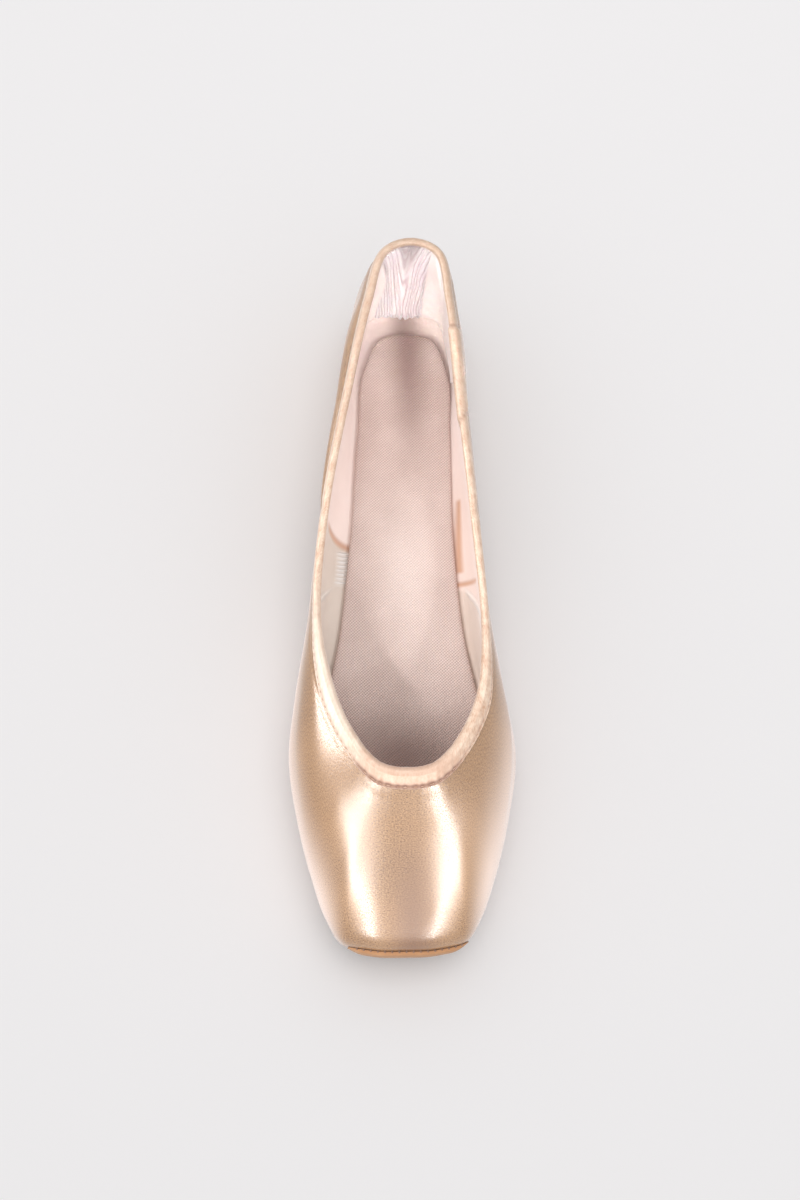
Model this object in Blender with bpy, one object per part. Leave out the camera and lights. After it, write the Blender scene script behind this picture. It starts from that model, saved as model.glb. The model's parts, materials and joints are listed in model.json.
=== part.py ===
"""Pointe shoe, standing empty on its sole.

The satin upper is one hollow shell. It starts as a margin under the foot,
turns out and up round the last, and ends at the collar. The blocked toe box
is thick and the quarters are soft. A stitched casing wraps the collar, a
suede patch covers the toe platform, a narrow leather sole closes the shell
from below, and an insole and a heel grip line it.

Metres. +Z is up, the toe points to -Y, and the origin is on the floor under
the middle of the shoe. The last is straight, so either foot can wear it.
"""

from typing import NamedTuple

import bpy
import bmesh
import numpy as np

# Outer form of the shoe on its last
LENGTH = 0.2350
BALL_WIDTH = 0.0754
WAIST_WIDTH = 0.0566
HEEL_WIDTH = 0.0410
PLATFORM_WIDTH = 0.0412
PLATFORM_HEIGHT = 0.0270
PLATFORM_LEAN = 0.0012
HEEL_SWING = 0.0024

# The collar, measured at the upper's raw edge under the binding
VAMP_LENGTH = 0.0563
THROAT_WIDTH = 0.0544
HEEL_MOUTH_WIDTH = 0.0286
HEEL_INCURVE = 0.0031
THROAT_HEIGHT = 0.0455
SIDE_HEIGHT = 0.0398
HEEL_HEIGHT = 0.0572

# The leather sole and the profile of its underside
SOLE_THICKNESS = 0.0022
SOLE_BEVEL = 0.0007
SOLE_BALL_WIDTH = 0.0530
SOLE_WAIST_WIDTH = 0.0280
SOLE_HEEL_WIDTH = 0.0340
SOLE_TOE_SETBACK = 0.0110
SOLE_HEEL_SETBACK = 0.0085
ARCH_RISE = 0.0026
TOE_SPRING = 0.0030

# Walls, linings and trims
BOX_WALL = 0.0026
QUARTER_WALL = 0.0014
LASTING_MARGIN = 0.0060
BINDING_DEPTH = 0.0050
BINDING_THICKNESS = 0.0008
TOE_PATCH_THICKNESS = 0.0009
HEEL_GRIP_THICKNESS = 0.0010
HEEL_GRIP_SLACK = 0.0045
INSOLE_THICKNESS = 0.0026
INSOLE_OFFSET = 0.0012
CLEARANCE = 0.0003

# How finely the faceted solids follow the curves
RIBS_PER_STATION = 3
LOWER_STEPS = 5
SHOULDER_STEPS = 4
TOP_STEPS = 5


class WidestLine(NamedTuple):
    """Where the side stands out most: half width, place along the last, height, sway to +X, wall, fullness."""

    half: float
    along: float
    height: float
    sway: float
    wall: float
    fullness: float


class Shoulder(NamedTuple):
    """How the side turns in above the widest line: corner height, share of the platform's lean, fullness."""

    height: float
    lean: float
    fullness: float


class CollarLine(NamedTuple):
    """The upper's raw edge: half width, place along the opening, height, and sway to +X."""

    half: float
    along: float
    height: float
    sway: float


class SoleLine(NamedTuple):
    """The sole's edge: half width, place along the sole, and how far the insole reaches to the side wall."""

    half: float
    along: float
    insole_reach: float


def mix(first, second, share):
    return first + (second - first) * share


# One row for each station, from the middle of the toe along one side to the middle of the heel
WIDEST_LINE = (
    WidestLine(0.0, 0.0, 0.52 * PLATFORM_HEIGHT, 0.0, BOX_WALL, 3.4),
    WidestLine(0.262 * PLATFORM_WIDTH, 0.0022, 0.52 * PLATFORM_HEIGHT, 0.0, BOX_WALL, 3.4),
    WidestLine(0.500 * PLATFORM_WIDTH, 0.0152, 0.52 * PLATFORM_HEIGHT, 0.0, BOX_WALL, 3.2),
    WidestLine(0.335 * BALL_WIDTH, 0.0466, 0.53 * PLATFORM_HEIGHT, 0.0, BOX_WALL, 2.8),
    WidestLine(0.397 * BALL_WIDTH, 0.1015, 0.54 * PLATFORM_HEIGHT, 0.0, BOX_WALL, 2.6),
    WidestLine(0.463 * BALL_WIDTH, 0.1845, 0.56 * PLATFORM_HEIGHT, 0.0, BOX_WALL, 2.4),
    WidestLine(0.500 * BALL_WIDTH, 0.2694, 0.58 * PLATFORM_HEIGHT, 0.0, BOX_WALL, 2.3),
    WidestLine(0.466 * BALL_WIDTH, 0.3523, 0.42 * SIDE_HEIGHT, -0.0007, mix(BOX_WALL, QUARTER_WALL, 0.3), 2.3),
    WidestLine(0.546 * WAIST_WIDTH, 0.4570, 0.46 * SIDE_HEIGHT, -0.0010, mix(BOX_WALL, QUARTER_WALL, 0.7), 2.3),
    WidestLine(0.488 * WAIST_WIDTH, 0.5969, 0.49 * SIDE_HEIGHT, -0.0007, QUARTER_WALL, 2.4),
    WidestLine(0.556 * HEEL_WIDTH, 0.7756, 0.50 * SIDE_HEIGHT, -0.0004, QUARTER_WALL, 2.4),
    WidestLine(0.492 * HEEL_WIDTH, 0.9017, 0.48 * SIDE_HEIGHT, -0.0002, QUARTER_WALL, 2.4),
    WidestLine(0.350 * HEEL_WIDTH, 0.9790, 0.47 * SIDE_HEIGHT, 0.0, QUARTER_WALL, 2.4),
    WidestLine(0.0, 1.0, 0.47 * SIDE_HEIGHT, 0.0, QUARTER_WALL, 2.4),
)

SHOULDER = (
    Shoulder(PLATFORM_HEIGHT, 1.0, 6.5),
    Shoulder(PLATFORM_HEIGHT, 1.0, 6.3),
    Shoulder(1.01 * PLATFORM_HEIGHT, 0.9, 5.0),
    Shoulder(1.10 * PLATFORM_HEIGHT, 0.6, 3.6),
    Shoulder(mix(PLATFORM_HEIGHT, THROAT_HEIGHT, 0.36), 0.2, 2.9),
    Shoulder(mix(PLATFORM_HEIGHT, THROAT_HEIGHT, 0.54), 0.0, 2.5),
    Shoulder(0.94 * SIDE_HEIGHT, 0.0, 2.2),
    Shoulder(0.94 * SIDE_HEIGHT, 0.0, 2.1),
    Shoulder(0.92 * SIDE_HEIGHT, 0.0, 2.0),
    Shoulder(0.88 * SIDE_HEIGHT, 0.0, 2.0),
    Shoulder(0.96 * SIDE_HEIGHT, 0.0, 2.0),
    Shoulder(mix(SIDE_HEIGHT, HEEL_HEIGHT, 0.10), 0.0, 2.0),
    Shoulder(mix(SIDE_HEIGHT, HEEL_HEIGHT, 0.20), 0.0, 2.0),
    Shoulder(mix(SIDE_HEIGHT, HEEL_HEIGHT, 0.25), 0.0, 2.0),
)

COLLAR_LINE = (
    CollarLine(0.0, 0.0, THROAT_HEIGHT, 0.0004),
    CollarLine(0.092 * THROAT_WIDTH, 0.0023, 0.998 * THROAT_HEIGHT, 0.0004),
    CollarLine(0.177 * THROAT_WIDTH, 0.0125, 0.992 * THROAT_HEIGHT, 0.0004),
    CollarLine(0.246 * THROAT_WIDTH, 0.0319, mix(THROAT_HEIGHT, SIDE_HEIGHT, 0.15), 0.0005),
    CollarLine(0.316 * THROAT_WIDTH, 0.0621, mix(THROAT_HEIGHT, SIDE_HEIGHT, 0.28), 0.0006),
    CollarLine(0.393 * THROAT_WIDTH, 0.1065, mix(THROAT_HEIGHT, SIDE_HEIGHT, 0.45), 0.0006),
    CollarLine(0.452 * THROAT_WIDTH, 0.1606, mix(THROAT_HEIGHT, SIDE_HEIGHT, 0.62), 0.0004),
    CollarLine(0.489 * THROAT_WIDTH, 0.2318, mix(THROAT_HEIGHT, SIDE_HEIGHT, 0.80), -0.0004),
    CollarLine(0.500 * THROAT_WIDTH, 0.3314, mix(THROAT_HEIGHT, SIDE_HEIGHT, 0.95), -0.0011),
    CollarLine(0.460 * THROAT_WIDTH, 0.4909, mix(SIDE_HEIGHT, HEEL_HEIGHT, 0.03), -0.0014),
    CollarLine(0.362 * THROAT_WIDTH, 0.7100, mix(SIDE_HEIGHT, HEEL_HEIGHT, 0.30), -0.0012),
    CollarLine(0.500 * HEEL_MOUTH_WIDTH, 0.8895, mix(SIDE_HEIGHT, HEEL_HEIGHT, 0.76), -0.0005),
    CollarLine(0.325 * HEEL_MOUTH_WIDTH, 0.9784, mix(SIDE_HEIGHT, HEEL_HEIGHT, 0.97), 0.0006),
    CollarLine(0.0, 1.0, HEEL_HEIGHT, 0.0006),
)

SOLE_LINE = (
    SoleLine(0.0, 0.0, 0.60),
    SoleLine(0.136 * SOLE_BALL_WIDTH, 0.0030, 0.60),
    SoleLine(0.245 * SOLE_BALL_WIDTH, 0.0162, 0.60),
    SoleLine(0.325 * SOLE_BALL_WIDTH, 0.0417, 0.62),
    SoleLine(0.404 * SOLE_BALL_WIDTH, 0.0905, 0.64),
    SoleLine(0.468 * SOLE_BALL_WIDTH, 0.1671, 0.66),
    SoleLine(0.500 * SOLE_BALL_WIDTH, 0.2529, 0.66),
    SoleLine(0.464 * SOLE_BALL_WIDTH, 0.3457, 0.66),
    SoleLine(0.351 * SOLE_BALL_WIDTH, 0.4571, 0.68),
    SoleLine(0.500 * SOLE_WAIST_WIDTH, 0.6056, 0.72),
    SoleLine(0.447 * SOLE_HEEL_WIDTH, 0.7950, 0.76),
    SoleLine(0.500 * SOLE_HEEL_WIDTH, 0.9050, 0.56),
    SoleLine(0.345 * SOLE_HEEL_WIDTH, 0.9770, 0.24),
    SoleLine(0.0, 1.0, 0.06),
)

# The sole's flat spots and what lies between them, as shares of the sole's length
FOREFOOT_FRONT = 0.13
FOREFOOT_BACK = 0.33
HEEL_FRONT = 0.78

# The patch on the platform: ribs on each side of the middle, its edges as shares of the two arcs,
# the height left at its ends, and the share of its thickness that its skived rim keeps
PATCH_RIBS = 5
PATCH_BOTTOM = 0.52
PATCH_TOP = 0.27
PATCH_ROWS = 9
PATCH_END_HEIGHT = 0.45
PATCH_RIM = 0.35

# The heel grip: ribs on each side of the middle, its hem as a share of the lower arc, and its rows
GRIP_RIBS = 7
GRIP_HEM = 0.50
GRIP_ROWS = 6

LAST_ROW = len(WIDEST_LINE) - 1
LOOP_ROWS = tuple(range(LAST_ROW + 1)) + tuple(range(LAST_ROW - 1, 0, -1))
RIBS = RIBS_PER_STATION * len(LOOP_ROWS)
HEEL_RIB = RIBS // 2
UP = np.array([0.0, 0.0, 1.0])

# Where the upper, its opening and the sole start and how long they are
TOE_FACE = -LENGTH / 2 + TOE_PATCH_THICKNESS + CLEARANCE
UPPER_LENGTH = LENGTH / 2 - TOE_FACE
OPENING_FRONT = -LENGTH / 2 + VAMP_LENGTH
OPENING_LENGTH = LENGTH - VAMP_LENGTH - HEEL_INCURVE
SOLE_FRONT = -LENGTH / 2 + SOLE_TOE_SETBACK
SOLE_LENGTH = LENGTH - SOLE_TOE_SETBACK - SOLE_HEEL_SETBACK


def column(table, name):
    """A table's column read once round the shoe: toe, +X side, heel, -X side."""
    return np.array([getattr(table[row], name) for row in LOOP_ROWS])


def side_column(table, name):
    """A half width as an x position: positive on the first side and negative on the way back."""
    signs = np.where(np.arange(len(LOOP_ROWS)) <= LAST_ROW, 1.0, -1.0)
    return signs * column(table, name)


def station_gaps():
    """Distances from each station to the next along the widest line, which pace every curve."""
    places = np.column_stack([
        side_column(WIDEST_LINE, "half"),
        UPPER_LENGTH * column(WIDEST_LINE, "along"),
    ])
    return np.linalg.norm(np.roll(places, -1, 0) - places, axis=1)


def round_the_shoe(values):
    """A smooth closed curve through the stations, read at every rib."""
    gaps = station_gaps()
    gaps_before = np.roll(gaps, 1)
    rises = (np.roll(values, -1) - values) / gaps
    slopes = (np.roll(rises, 1) * gaps + rises * gaps_before) / (gaps + gaps_before)
    next_values = np.roll(values, -1)
    next_slopes = np.roll(slopes, -1)
    share = np.arange(RIBS_PER_STATION)[None, :] / RIBS_PER_STATION
    read = (
        values[:, None] * (1 + 2 * share) * (1 - share) ** 2
        + next_values[:, None] * (3 - 2 * share) * share**2
        + (slopes * gaps)[:, None] * share * (1 - share) ** 2
        + (next_slopes * gaps)[:, None] * (share - 1) * share**2
    )
    return read.reshape(-1)


def floor_height(along):
    """Height of the sole's underside over the floor, at a place along the shoe."""
    share = (along - SOLE_FRONT) / SOLE_LENGTH
    spring = TOE_SPRING * np.clip(1 - share / FOREFOOT_FRONT, 0, None) ** 2
    arch_share = np.clip((share - FOREFOOT_BACK) / (HEEL_FRONT - FOREFOOT_BACK), 0, 1)
    return spring + ARCH_RISE * np.sin(np.pi * arch_share) ** 2


def place(across, along, height):
    return np.column_stack([across, along, height])


def unit(vectors):
    return vectors / np.linalg.norm(vectors, axis=1, keepdims=True)


def along_loop(loop):
    return unit(np.roll(loop, -1, 0) - np.roll(loop, 1, 0))


def level_outward(loop):
    """Level normals of a loop of ribs, pointing out of the shoe."""
    return unit(np.cross(along_loop(loop), UP))


def each(values):
    """One number for each rib, ready to scale that rib's vector."""
    return np.broadcast_to(values, RIBS)[:, None]


MARGIN_HEIGHT = SOLE_THICKNESS + CLEARANCE
WIDEST = place(
    round_the_shoe(side_column(WIDEST_LINE, "half")) + round_the_shoe(column(WIDEST_LINE, "sway")),
    TOE_FACE + UPPER_LENGTH * round_the_shoe(column(WIDEST_LINE, "along")),
    round_the_shoe(column(WIDEST_LINE, "height")),
)
COLLAR = place(
    round_the_shoe(side_column(COLLAR_LINE, "half")) + round_the_shoe(column(COLLAR_LINE, "sway")),
    OPENING_FRONT + OPENING_LENGTH * round_the_shoe(column(COLLAR_LINE, "along")),
    round_the_shoe(column(COLLAR_LINE, "height")),
)
SOLE_ACROSS = round_the_shoe(side_column(SOLE_LINE, "half"))
SOLE_ALONG = SOLE_FRONT + SOLE_LENGTH * round_the_shoe(column(SOLE_LINE, "along"))
SOLE_EDGE = place(SOLE_ACROSS, SOLE_ALONG, floor_height(SOLE_ALONG))
INSOLE_REACH = round_the_shoe(column(SOLE_LINE, "insole_reach"))
WALL = round_the_shoe(column(WIDEST_LINE, "wall"))
LOWER_FULLNESS = round_the_shoe(column(WIDEST_LINE, "fullness"))
UPPER_FULLNESS = round_the_shoe(column(SHOULDER, "fullness"))


class Ribs(NamedTuple):
    """The points that steer every rib of one sheet, each an array of one point for each rib."""

    margin: np.ndarray
    feather: np.ndarray
    corner: np.ndarray
    widest: np.ndarray
    shoulder: np.ndarray
    collar: np.ndarray


def outer_ribs():
    """The outside of the upper."""
    outward = level_outward(WIDEST)
    margin_along = SOLE_EDGE - LASTING_MARGIN * level_outward(SOLE_EDGE)
    margin = place(margin_along[:, 0], margin_along[:, 1], floor_height(margin_along[:, 1]) + MARGIN_HEIGHT)
    feather = SOLE_EDGE + UP * MARGIN_HEIGHT
    corner = place(WIDEST[:, 0], WIDEST[:, 1], feather[:, 2])
    lean = each(PLATFORM_LEAN * round_the_shoe(column(SHOULDER, "lean")))
    shoulder_height = round_the_shoe(column(SHOULDER, "height"))
    shoulder = place(WIDEST[:, 0], WIDEST[:, 1], shoulder_height) - outward * lean
    return Ribs(margin, feather, corner, WIDEST, shoulder, COLLAR)


OUTER = outer_ribs()


def collar_outward():
    """Normals of the upper's outside at its raw edge."""
    return unit(np.cross(along_loop(OUTER.collar), unit(OUTER.collar - OUTER.shoulder)))


def inset_ribs(inset, collar_inset):
    """The outer ribs moved into the shoe, or out of it where the inset is negative."""
    outward = level_outward(OUTER.widest)
    collar_normal = collar_outward()
    facing = np.sum(outward * collar_normal, axis=1)
    mitre = np.sqrt((1 - facing) / (1 + facing))
    sideways = outward * each(inset)
    upward = UP * each(inset)
    return Ribs(
        OUTER.margin + upward,
        OUTER.feather + upward,
        OUTER.corner + upward - sideways,
        OUTER.widest - sideways,
        OUTER.shoulder - sideways - upward * mitre[:, None],
        OUTER.collar - collar_normal * each(collar_inset),
    )


def lower_arc(ribs, share):
    """Points between the feather line, at 0, and the widest line, at 1."""
    angle = np.broadcast_to(share, RIBS) * np.pi / 2
    out = each(np.sin(angle) ** (2 / LOWER_FULLNESS))
    rise = each(1 - np.cos(angle) ** (2 / LOWER_FULLNESS))
    return ribs.feather + (ribs.corner - ribs.feather) * out + (ribs.widest - ribs.corner) * rise


def upper_arc(ribs, share):
    """Points between the widest line, at 0, and the collar, at 1."""
    angle = np.broadcast_to(share, RIBS) * np.pi / 2
    rise = each(np.sin(angle) ** (2 / UPPER_FULLNESS))
    inward = each(1 - np.cos(angle) ** (2 / UPPER_FULLNESS))
    return ribs.widest + (ribs.shoulder - ribs.widest) * rise + (ribs.collar - ribs.shoulder) * inward


def side_point(ribs, level):
    """Points at a level for each rib: from -1 at the feather line to 0 at the widest line and 1 at the collar."""
    below = lower_arc(ribs, 1 + np.minimum(level, 0))
    above = upper_arc(ribs, np.maximum(level, 0))
    return np.where(each(level) < 0, below, above)


def share_at_leg(leg):
    """The upper arc's share at a place on its leg, from 0 at the collar to 1 above the widest line."""
    return np.arccos(leg ** (UPPER_FULLNESS / 2)) / (np.pi / 2)


def share_below_collar(ribs, depth):
    """The upper arc's share at a distance down from the collar, for every rib."""
    legs = np.linspace(0.0, 1.0, 61)
    points = np.array([upper_arc(ribs, share_at_leg(leg)) for leg in legs])
    steps = np.linalg.norm(np.diff(points, axis=0), axis=2)
    distances = np.vstack([np.zeros(RIBS), np.cumsum(steps, axis=0)])
    return share_at_leg(np.array([np.interp(depth, distances[:, rib], legs) for rib in range(RIBS)]))


def below_collar(ribs, depth):
    return upper_arc(ribs, share_below_collar(ribs, depth))


def swing(points):
    """The heel's lean to +X, which every piece follows."""
    share = np.clip(points[:, 1] / (LENGTH / 2), 0, 1)
    swung = points.copy()
    swung[:, 0] += HEEL_SWING * share**2 * (3 - 2 * share)
    return swung


def plain_material(name, colour, roughness):
    material = bpy.data.materials.new(name)
    material.use_nodes = True
    shader = material.node_tree.nodes["Principled BSDF"]
    shader.inputs["Base Color"].default_value = (*colour, 1.0)
    shader.inputs["Roughness"].default_value = roughness
    shader.inputs["Metallic"].default_value = 0.0
    return material


def add_object(name, rows, faces, material):
    """One closed solid from rows of points and the faces that join them."""
    mesh = bpy.data.meshes.new(name)
    shape = bmesh.new()
    points = swing(np.concatenate(rows))
    corners = [shape.verts.new(point) for point in points]
    for face in faces:
        shape.faces.new([corners[index] for index in face])
    bmesh.ops.recalc_face_normals(shape, faces=shape.faces)
    bmesh.ops.triangulate(shape, faces=shape.faces)
    shape.to_mesh(mesh)
    shape.free()
    mesh.shade_smooth()
    mesh.set_sharp_from_angle(angle=np.radians(40))
    mesh.materials.append(material)
    thing = bpy.data.objects.new(name, mesh)
    bpy.context.scene.collection.objects.link(thing)
    return thing


def strip(first, second, count, closed):
    """Faces between two rows of points that lie side by side."""
    faces = []
    for index in range(count if closed else count - 1):
        onward = (index + 1) % count
        faces.append((first + index, first + onward, second + onward, second + index))
    return faces


def ring_solid(name, rings, material):
    """A tube of rings round the shoe whose section closes on itself."""
    faces = []
    for ring in range(len(rings)):
        onward = (ring + 1) % len(rings)
        faces += strip(ring * RIBS, onward * RIBS, RIBS, True)
    return add_object(name, rings, faces, material)


def lid(first):
    """Faces that span one ring, rung by rung from the toe to the heel."""
    faces = [(first, first + 1, first + RIBS - 1)]
    for rib in range(1, HEEL_RIB - 1):
        far = RIBS - rib
        faces.append((first + rib, first + rib + 1, first + far - 1, first + far))
    faces.append((first + HEEL_RIB - 1, first + HEEL_RIB, first + HEEL_RIB + 1))
    return faces


def slab_solid(name, rings, material):
    """Rings stacked from bottom to top, with a lid on each end."""
    faces = lid(0) + lid((len(rings) - 1) * RIBS)
    for ring in range(len(rings) - 1):
        faces += strip(ring * RIBS, (ring + 1) * RIBS, RIBS, True)
    return add_object(name, rings, faces, material)


def panel_solid(name, front, back, material):
    """A panel between two grids of points, closed along its four edges."""
    rows = len(front)
    count = len(front[0])
    behind = rows * count
    faces = []
    for row in range(rows - 1):
        faces += strip(row * count, (row + 1) * count, count, False)
        faces += strip(behind + row * count, behind + (row + 1) * count, count, False)
        for end in (0, count - 1):
            here = row * count + end
            faces.append((here, here + count, behind + here + count, behind + here))
    for row in (0, rows - 1):
        faces += strip(row * count, behind + row * count, count, False)
    return add_object(name, front + back, faces, material)


def sheet_rings(ribs):
    """The upper's rings on one side of its wall: margin, lower arc, shoulder and the rest to the collar."""
    rings = [ribs.margin]
    rings += [lower_arc(ribs, step / LOWER_STEPS) for step in range(LOWER_STEPS + 1)]
    rings += [upper_arc(ribs, step / SHOULDER_STEPS / 2) for step in range(1, SHOULDER_STEPS + 1)]
    shoulder_leg = 0.5 ** (1 / UPPER_FULLNESS)
    for step in range(1, TOP_STEPS + 1):
        rings.append(upper_arc(ribs, share_at_leg(shoulder_leg * (1 - step / TOP_STEPS))))
    return rings


def make_upper():
    satin = plain_material("champagne satin", (0.62, 0.42, 0.26), 0.42)
    inside = sheet_rings(inset_ribs(WALL, QUARTER_WALL))
    return ring_solid("upper", sheet_rings(OUTER) + inside[::-1], satin)


def make_binding():
    """The casing's U section: down the outside, over the raw edge and down the inside."""
    casing = plain_material("apricot casing", (0.74, 0.53, 0.36), 0.55)
    cover = CLEARANCE + BINDING_THICKNESS
    outside = inset_ribs(-cover, -cover)
    outside_lining = inset_ribs(-CLEARANCE, -CLEARANCE)
    inside_lining = inset_ribs(WALL + CLEARANCE, QUARTER_WALL + CLEARANCE)
    inside = inset_ribs(WALL + cover, QUARTER_WALL + cover)
    rise = unit(OUTER.collar - OUTER.shoulder)
    middle = OUTER.collar - collar_outward() * QUARTER_WALL / 2
    radius = QUARTER_WALL / 2 + cover
    depths = (BINDING_DEPTH, BINDING_DEPTH / 2)
    rings = [below_collar(outside, depth) for depth in depths]
    for angle in np.radians((0, 45, 90, 135, 180)):
        rings.append(middle + (collar_outward() * np.cos(angle) + rise * np.sin(angle)) * radius)
    rings += [below_collar(inside, depth) for depth in depths[::-1]]
    rings += [below_collar(inside_lining, depth) for depth in depths]
    rings.append(inside_lining.collar + rise * CLEARANCE)
    rings.append(outside_lining.collar + rise * CLEARANCE)
    rings += [below_collar(outside_lining, depth) for depth in depths[::-1]]
    return ring_solid("binding", rings, casing)


def make_outsole():
    leather = plain_material("sole leather", (0.55, 0.40, 0.28), 0.7)
    bottom = SOLE_EDGE - SOLE_BEVEL * level_outward(SOLE_EDGE)
    rings = [
        place(bottom[:, 0], bottom[:, 1], floor_height(bottom[:, 1])),
        SOLE_EDGE + UP * SOLE_BEVEL,
        SOLE_EDGE + UP * SOLE_THICKNESS,
    ]
    return slab_solid("outsole", rings, leather)


def make_insole():
    """The insole lies on the margin and flares to its reach between the margin and the side wall."""
    cloth = plain_material("insole cloth", (0.80, 0.62, 0.52), 0.85)
    snug = inset_ribs(WALL + CLEARANCE, QUARTER_WALL + CLEARANCE)
    height_share = INSOLE_THICKNESS / (snug.widest[:, 2] - snug.feather[:, 2])
    angle = np.arccos((1 - height_share) ** (LOWER_FULLNESS / 2))
    wall_side = lower_arc(snug, angle / (np.pi / 2))
    reach = INSOLE_REACH[:, None]
    bottom_line = mix(snug.margin, snug.feather, reach)
    top_line = mix(snug.margin, wall_side, reach)
    rings = []
    for line, rise in ((bottom_line, 0.0), (top_line, INSOLE_THICKNESS)):
        height = floor_height(line[:, 1]) + MARGIN_HEIGHT + WALL + CLEARANCE + rise
        rings.append(place(line[:, 0] + INSOLE_OFFSET, line[:, 1], height))
    return slab_solid("insole", rings, cloth)


def make_toe_patch():
    """The patch follows the platform and narrows towards its rounded ends."""
    suede = plain_material("apricot suede", (0.72, 0.50, 0.36), 0.9)
    back_ribs = inset_ribs(-CLEARANCE, -CLEARANCE)
    front_ribs = inset_ribs(-CLEARANCE - TOE_PATCH_THICKNESS, -CLEARANCE - TOE_PATCH_THICKNESS)
    ribs = np.arange(-PATCH_RIBS, PATCH_RIBS + 1)
    height = mix(PATCH_END_HEIGHT, 1, np.sqrt(1 - np.abs(ribs / PATCH_RIBS) ** 3))
    front = []
    back = []
    for row in range(PATCH_ROWS + 1):
        level = mix(PATCH_BOTTOM - 1, PATCH_TOP, row / PATCH_ROWS) * height
        shares = np.zeros(RIBS)
        shares[ribs] = level
        rim = row in (0, PATCH_ROWS)
        fullness = np.where(rim | (np.abs(ribs) == PATCH_RIBS), PATCH_RIM, 1.0)
        back.append(side_point(back_ribs, shares)[ribs])
        front.append(mix(back[-1], side_point(front_ribs, shares)[ribs], fullness[:, None]))
    return panel_solid("toe_patch", front, back, suede)


def make_heel_grip():
    """A free panel inside the heel, from under the binding down to a hem that hangs clear of the wall."""
    lining = plain_material("pale lining", (0.78, 0.66, 0.64), 0.8)
    ribs = np.arange(HEEL_RIB - GRIP_RIBS, HEEL_RIB + GRIP_RIBS + 1)
    sheets = []
    for depth_in in (0.0, HEEL_GRIP_THICKNESS):
        rows = []
        for row in range(GRIP_ROWS + 1):
            share = row / GRIP_ROWS
            gap = CLEARANCE + HEEL_GRIP_SLACK * share**2 + depth_in
            steering = inset_ribs(WALL + gap, QUARTER_WALL + gap)
            top_share = share_below_collar(steering, BINDING_DEPTH + 2 * CLEARANCE)
            level = mix(top_share, GRIP_HEM - 1, share)
            rows.append(side_point(steering, level)[ribs])
        sheets.append(rows)
    return panel_solid("heel_grip", sheets[0], sheets[1], lining)


def clear_scene():
    for thing in list(bpy.data.objects):
        bpy.data.objects.remove(thing, do_unlink=True)


def build():
    clear_scene()
    make_upper()
    make_binding()
    make_toe_patch()
    make_outsole()
    make_insole()
    make_heel_grip()


build()
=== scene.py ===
"""A satin pointe shoe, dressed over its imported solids.

Metres, +Z up, toe to -Y and heel to +Y, as in the part's own frame.
"""

import json
from typing import NamedTuple

import bmesh
import bpy
import numpy as np
from mathutils import Matrix, Vector

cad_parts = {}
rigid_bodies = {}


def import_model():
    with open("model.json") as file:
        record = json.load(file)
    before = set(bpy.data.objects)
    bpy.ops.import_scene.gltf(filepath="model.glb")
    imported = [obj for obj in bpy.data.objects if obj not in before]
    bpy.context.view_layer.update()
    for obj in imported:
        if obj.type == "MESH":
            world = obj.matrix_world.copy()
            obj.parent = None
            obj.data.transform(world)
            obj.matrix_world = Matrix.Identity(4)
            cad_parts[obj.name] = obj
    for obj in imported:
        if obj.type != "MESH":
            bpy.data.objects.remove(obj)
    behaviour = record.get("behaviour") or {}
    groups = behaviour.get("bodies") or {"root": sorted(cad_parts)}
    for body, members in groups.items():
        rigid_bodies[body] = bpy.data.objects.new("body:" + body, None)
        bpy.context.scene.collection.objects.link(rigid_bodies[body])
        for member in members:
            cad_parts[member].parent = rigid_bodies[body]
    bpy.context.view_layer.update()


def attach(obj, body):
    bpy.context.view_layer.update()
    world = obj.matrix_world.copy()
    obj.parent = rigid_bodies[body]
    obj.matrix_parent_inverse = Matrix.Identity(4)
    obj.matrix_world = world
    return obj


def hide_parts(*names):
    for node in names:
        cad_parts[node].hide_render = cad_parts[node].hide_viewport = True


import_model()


# The upper: satin stretched over a stiff paste box at the toe and soft round the quarters.
# It is pulled down over the last, pleated under the sole's edge, and lined inside.
# Outside and lining are the two faces of one closed shell.
MM = 0.001
LENGTH = 235.0 * MM
VAMP_LENGTH = 56.3 * MM
HEEL_INCURVE = 3.1 * MM
HEEL_SWING = 2.4 * MM
PLATFORM_LEAN = 1.2 * MM
QUARTER_WALL = 1.4 * MM
CLEARANCE = 0.3 * MM
TOE_PATCH_THICKNESS = 0.9 * MM
SOLE_THICKNESS = 2.2 * MM
SOLE_TOE_SETBACK = 11.0 * MM
SOLE_HEEL_SETBACK = 8.5 * MM
LASTING_MARGIN = 6.0 * MM
TOE_SPRING = 3.0 * MM
ARCH_RISE = 2.6 * MM
FOREFOOT_FRONT = 0.13
FOREFOOT_BACK = 0.33
HEEL_FRONT = 0.78

# Where the side stands out most, from the middle of the toe to the middle of the heel
WIDEST_HALF = [0, 10.79, 20.6, 25.26, 29.93, 34.91, 37.7, 35.14, 30.9, 27.62, 22.8, 20.17, 14.35, 0]
WIDEST_ALONG = [
    0, 0.0022, 0.0152, 0.0466, 0.1015, 0.1845, 0.2694, 0.3523, 0.457, 0.5969, 0.7756, 0.9017, 0.979, 1,
]
WIDEST_HEIGHT = [
    14.04, 14.04, 14.04, 14.31, 14.58, 15.12, 15.66, 16.72, 18.31, 19.5, 19.9, 19.1, 18.71, 18.71,
]
WIDEST_SWAY = [0, 0, 0, 0, 0, 0, 0, -0.7, -1.0, -0.7, -0.4, -0.2, 0, 0]
WALL = [2.6, 2.6, 2.6, 2.6, 2.6, 2.6, 2.6, 2.24, 1.76, 1.4, 1.4, 1.4, 1.4, 1.4]
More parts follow.
